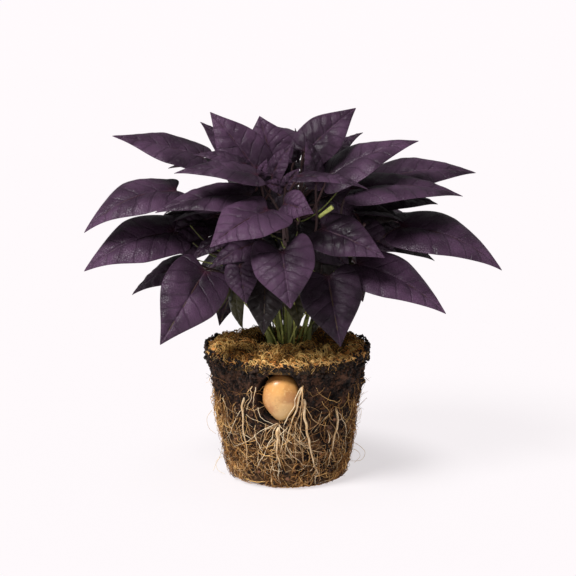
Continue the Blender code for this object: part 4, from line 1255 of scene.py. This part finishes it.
def crumbShapes(centres, sizes, flatness):
    # Small lumps of 12 corners and 20 faces, each stretched and turned by chance.
    golden = (1 + math.sqrt(5)) / 2
    corners = np.array([[-1, golden, 0], [1, golden, 0], [-1, -golden, 0], [1, -golden, 0], [0, -1, golden],
                        [0, 1, golden], [0, -1, -golden], [0, 1, -golden], [golden, 0, -1], [golden, 0, 1],
                        [-golden, 0, -1], [-golden, 0, 1]]) / math.sqrt(1 + golden ** 2)
    faces = np.array([[0, 11, 5], [0, 5, 1], [0, 1, 7], [0, 7, 10], [0, 10, 11], [1, 5, 9], [5, 11, 4],
                      [11, 10, 2], [10, 7, 6], [7, 1, 8], [3, 9, 4], [3, 4, 2], [3, 2, 6], [3, 6, 8],
                      [3, 8, 9], [4, 9, 5], [2, 4, 11], [6, 2, 10], [8, 6, 7], [9, 8, 1]])
    count = len(centres)
    shape = corners[None] * draw.uniform(0.72, 1.25, (count, 12, 1))
    stretch = np.stack([np.ones(count), draw.uniform(0.55, 1, count), draw.uniform(*flatness, count)], 1)
    shape = shape * stretch[:, None]
    first = unitRows(draw.normal(size=(count, 3)))
    second = unitRows(np.cross(first, draw.normal(size=(count, 3))))
    turn = np.stack([first, second, np.cross(first, second)], axis=2)
    shape = np.einsum("nij,nkj->nki", turn, shape) * sizes[:, None, None]
    verts = (shape + centres[:, None]).reshape(-1, 3)
    tris = (faces[None] + (np.arange(count) * 12)[:, None, None]).reshape(-1, 3)
    return verts, tris


def crumbPieces():
    # Peat crumbs over the side of the ball, and flat bark chips round the rim.
    count = 1500
    theta = draw.uniform(0, 2 * math.pi, count)
    z = 0.002 + 0.102 * draw.uniform(0, 1, count) ** 0.8
    centres = ballSurface(theta, z)
    away = 1 + draw.uniform(-0.0004, 0.0006, count) / 0.06
    centres = centres * np.stack([away, away, np.ones(count)], 1)
    centres = centres[hollowDepth(centres[:, 0], centres[:, 1], centres[:, 2]) < 0.001]
    verts, tris = crumbShapes(centres, draw.uniform(0.0007, 0.0022, len(centres)), (0.5, 0.9))
    tint = np.repeat(draw.uniform(0, 1, len(centres)) ** 1.6 * (1 - 0.5 * centres[:, 2] / ball["height"]), 12)
    putMesh("peat_crumbs", (verts, [], tris), crumbLook, {"tint": tint})
    # The rim crumbs stand higher at the left and right than at the front.
    count = 1100
    theta = draw.uniform(0, 2 * math.pi, count)
    beside = np.cos(theta) ** 2
    out = draw.uniform(0.0680, 0.0700, count) + 0.0008 * beside
    z = 0.1015 + draw.uniform(0, 1, count) * (0.0118 + 0.0034 * beside)
    centres = np.stack([out * np.cos(theta), out * np.sin(theta), z], 1)
    centres = centres[hollowDepth(centres[:, 0], centres[:, 1], centres[:, 2] - 0.002) < 0.001]
    count = len(centres)
    verts, tris = crumbShapes(centres, draw.uniform(0.0008, 0.0021, count), (0.5, 0.9))
    tint = np.repeat(draw.uniform(0, 1, count) ** 2 * 0.5, 12)
    putMesh("peat_rim", (verts, [], tris), crumbLook, {"tint": tint})
    count = 170
    theta = draw.uniform(0, 2 * math.pi, count)
    out = draw.uniform(0.058, 0.0685, count)
    z = mossTop(out) + draw.uniform(-0.001, 0.0018, count) - smoothStep(0.064, 0.069, out) * 0.002
    centres = np.stack([out * np.cos(theta), out * np.sin(theta), z], 1)
    verts, tris = crumbShapes(centres, draw.uniform(0.0010, 0.0030, count), (0.15, 0.4))
    tint = np.repeat(draw.uniform(0.2, 1, count), 12)
    putMesh("bark_chips", (verts, [], tris), coirFibre, {"tint": tint})


crumbPieces()


def mossStrands(count, radius, length, thickness, rise, steps=8):
    # Loose fibres lying in arcs over the mat, in tufts: the best of three times as many, by a soft noise.
    r0 = np.sqrt(draw.uniform(radius[0] ** 2, radius[1] ** 2, count * 3))
    theta0 = draw.uniform(0, 2 * math.pi, count * 3)
    liking = softNoise(np.stack([r0 * np.cos(theta0), r0 * np.sin(theta0), r0 * 0], -1), 0.0075, 63)
    kept = np.argsort(-liking - draw.uniform(0, 0.16, count * 3))[:count]
    r0, theta0 = r0[kept], theta0[kept]
    heading = draw.uniform(0, 2 * math.pi, count)[:, None]
    heading = heading + np.cumsum(draw.normal(0, 0.55, (count, steps)), axis=1)
    step = (draw.uniform(*length, count) / (steps - 1))[:, None]
    x = (r0 * np.cos(theta0))[:, None] + np.cumsum(np.cos(heading) * step, axis=1)
    y = (r0 * np.sin(theta0))[:, None] + np.cumsum(np.sin(heading) * step, axis=1)
    away = np.hypot(x, y)
    keep = np.minimum(1.0, 0.0693 / np.maximum(away, 1e-6))
    x, y = x * keep, y * keep
    s = np.linspace(0, 1, steps)[None]
    over = smoothStep(0.0655, 0.0700, np.hypot(x, y))
    arc = draw.uniform(*rise, count)[:, None] * np.sin(math.pi * s)
    z = mossTop(np.hypot(x, y)) + mossBumps(x, y) + arc - 0.0002 - over * 0.001
    thick = draw.uniform(*thickness, count)[:, None] * (1 - 0.5 * s)
    return np.stack([x, y, z], -1), thick * np.ones((1, steps))


def rimStrands(count, drop, thickness, steps=8):
    # Fibres that come out at the rim and hang down the side.
    theta = draw.uniform(0, 2 * math.pi, count)[:, None]
    theta = theta + np.cumsum(draw.normal(0, 0.025, (count, steps)), axis=1)
    s = np.linspace(0, 1, steps)[None]
    out = 0.058 + draw.uniform(0, 0.008, count)[:, None] + s * draw.uniform(0.006, 0.017, count)[:, None]
    out = np.minimum(out, 0.0708)
    fall = draw.uniform(*drop, count)[:, None] * s ** 2
    z = mossTop(0.066) + 0.0016 * np.sin(math.pi * s) - fall
    limit = ballRadius(np.clip(z, 0, ball["height"])) + 0.0007 + draw.uniform(0, 0.002, count)[:, None]
    out = np.where(z < ball["height"], np.maximum(out, limit), out)
    thick = draw.uniform(*thickness, count)[:, None] * (1 - 0.5 * s)
    return np.stack([out * np.cos(theta), out * np.sin(theta), z], -1), thick


# Each batch of moss gives how many, distances from the middle, lengths, thickness and rise of the arcs,
# and each batch at the rim how many, how far they hang, and thickness.
strandPiece("moss_fibres", [
    mossStrands(1500, (0.004, 0.068), (0.005, 0.015), (0.00024, 0.00058), (0.0010, 0.0056)),
], 3, mossFibre, (0.0, 1.55), 0.72)
strandPiece("coir_fibres", [
    mossStrands(420, (0.030, 0.069), (0.008, 0.020), (0.00022, 0.00050), (0.0010, 0.0040)),
    mossStrands(480, (0.058, 0.069), (0.005, 0.013), (0.00028, 0.00064), (0.0006, 0.0034)),
    rimStrands(120, (0.0, 0.003), (0.00018, 0.00042)),
    rimStrands(60, (0.003, 0.009), (0.00014, 0.00030)),
], 3, coirFibre, (0.1, 2.2), 0.5)
print("roots and fibres made")


# The floor takes less shade further from the ball, where its own glow makes up the white.
stageLook = {"floor": (0.31, 0.298, 0.303), "glow": (0.648, 0.617, 0.629), "floorFar": (0.09, 0.0865, 0.088),
             "glowFar": (0.894, 0.853, 0.870), "fade": (0.085, 0.175), "floorHalf": 40.0,
             "world": (1.0, 0.985, 0.99), "worldStrength": 0.22,
             "sunStrength": 3.7, "sunTurn": 46, "sunHeight": 50, "sunAngle": 24}


def floorPiece():
    # A wide flat square; its colour and glow change with the distance from the ball's middle.
    mesh = bpy.data.meshes.new("floor")
    wide = stageLook["floorHalf"]
    corners = [(-wide, -wide, 0), (wide, -wide, 0), (wide, wide, 0), (-wide, wide, 0)]
    mesh.from_pydata(corners, [], [(0, 1, 2, 3)])
    made, tree, shader, add = startMaterial("paleFloor", 0.9, 0.1)
    away = add("ShaderNodeVectorMath", {"Vector": objectPlace(add)}, operation="LENGTH").outputs["Value"]
    fade = rangeNode(add, away, *stageLook["fade"])
    colour = mixColour(add, fade, stageLook["floor"], stageLook["floorFar"])
    glow = mixColour(add, fade, stageLook["glow"], stageLook["glowFar"])
    tree.links.new(colour, shader.inputs["Base Color"])
    tree.links.new(glow, shader.inputs["Emission Color"])
    shader.inputs["Emission Strength"].default_value = 1.0
    mesh.materials.append(made)
    floor = bpy.data.objects.new("floor", mesh)
    floor.location.z = -0.0003
    bpy.context.scene.collection.objects.link(floor)


def sunLight():
    # Soft light from the left and front: sunTurn is its bearing left of the camera's side.
    lamp = bpy.data.lights.new("keyLight", "SUN")
    lamp.energy = stageLook["sunStrength"]
    lamp.angle = math.radians(stageLook["sunAngle"])
    holder = bpy.data.objects.new("keyLight", lamp)
    bearing, rise = math.radians(stageLook["sunTurn"]), math.radians(stageLook["sunHeight"])
    place = Vector((-math.sin(bearing) * math.cos(rise), -math.cos(bearing) * math.cos(rise), math.sin(rise)))
    holder.location = place * 3
    holder.rotation_euler = (-place).to_track_quat("-Z", "Y").to_euler()
    bpy.context.scene.collection.objects.link(holder)


floorPiece()
world = bpy.data.worlds.new("studio")
world.use_nodes = True
background = world.node_tree.nodes["Background"]
background.inputs["Color"].default_value = (*stageLook["world"], 1.0)
background.inputs["Strength"].default_value = stageLook["worldStrength"]
bpy.context.scene.world = world
sunLight()
bpy.context.scene.view_settings.view_transform = "Standard"  # colours as they are lit

cameraData = bpy.data.cameras.new("camera")
cameraData.sensor_width = 36.0
cameraData.lens = photoCamera["scale"] / 576 * 36.0
cameraData.shift_x = (288 - photoCamera["centre"][0]) / 576
cameraData.clip_end = 100.0
camera = bpy.data.objects.new("camera", cameraData)
camera.location = (0.0, -photoCamera["distance"], photoCamera["height"])
camera.rotation_euler = (math.radians(90 - photoCamera["pitch"]), 0.0, 0.0)
bpy.context.scene.collection.objects.link(camera)
bpy.context.scene.camera = camera
print("floor, light and camera made")

print("scene finished")
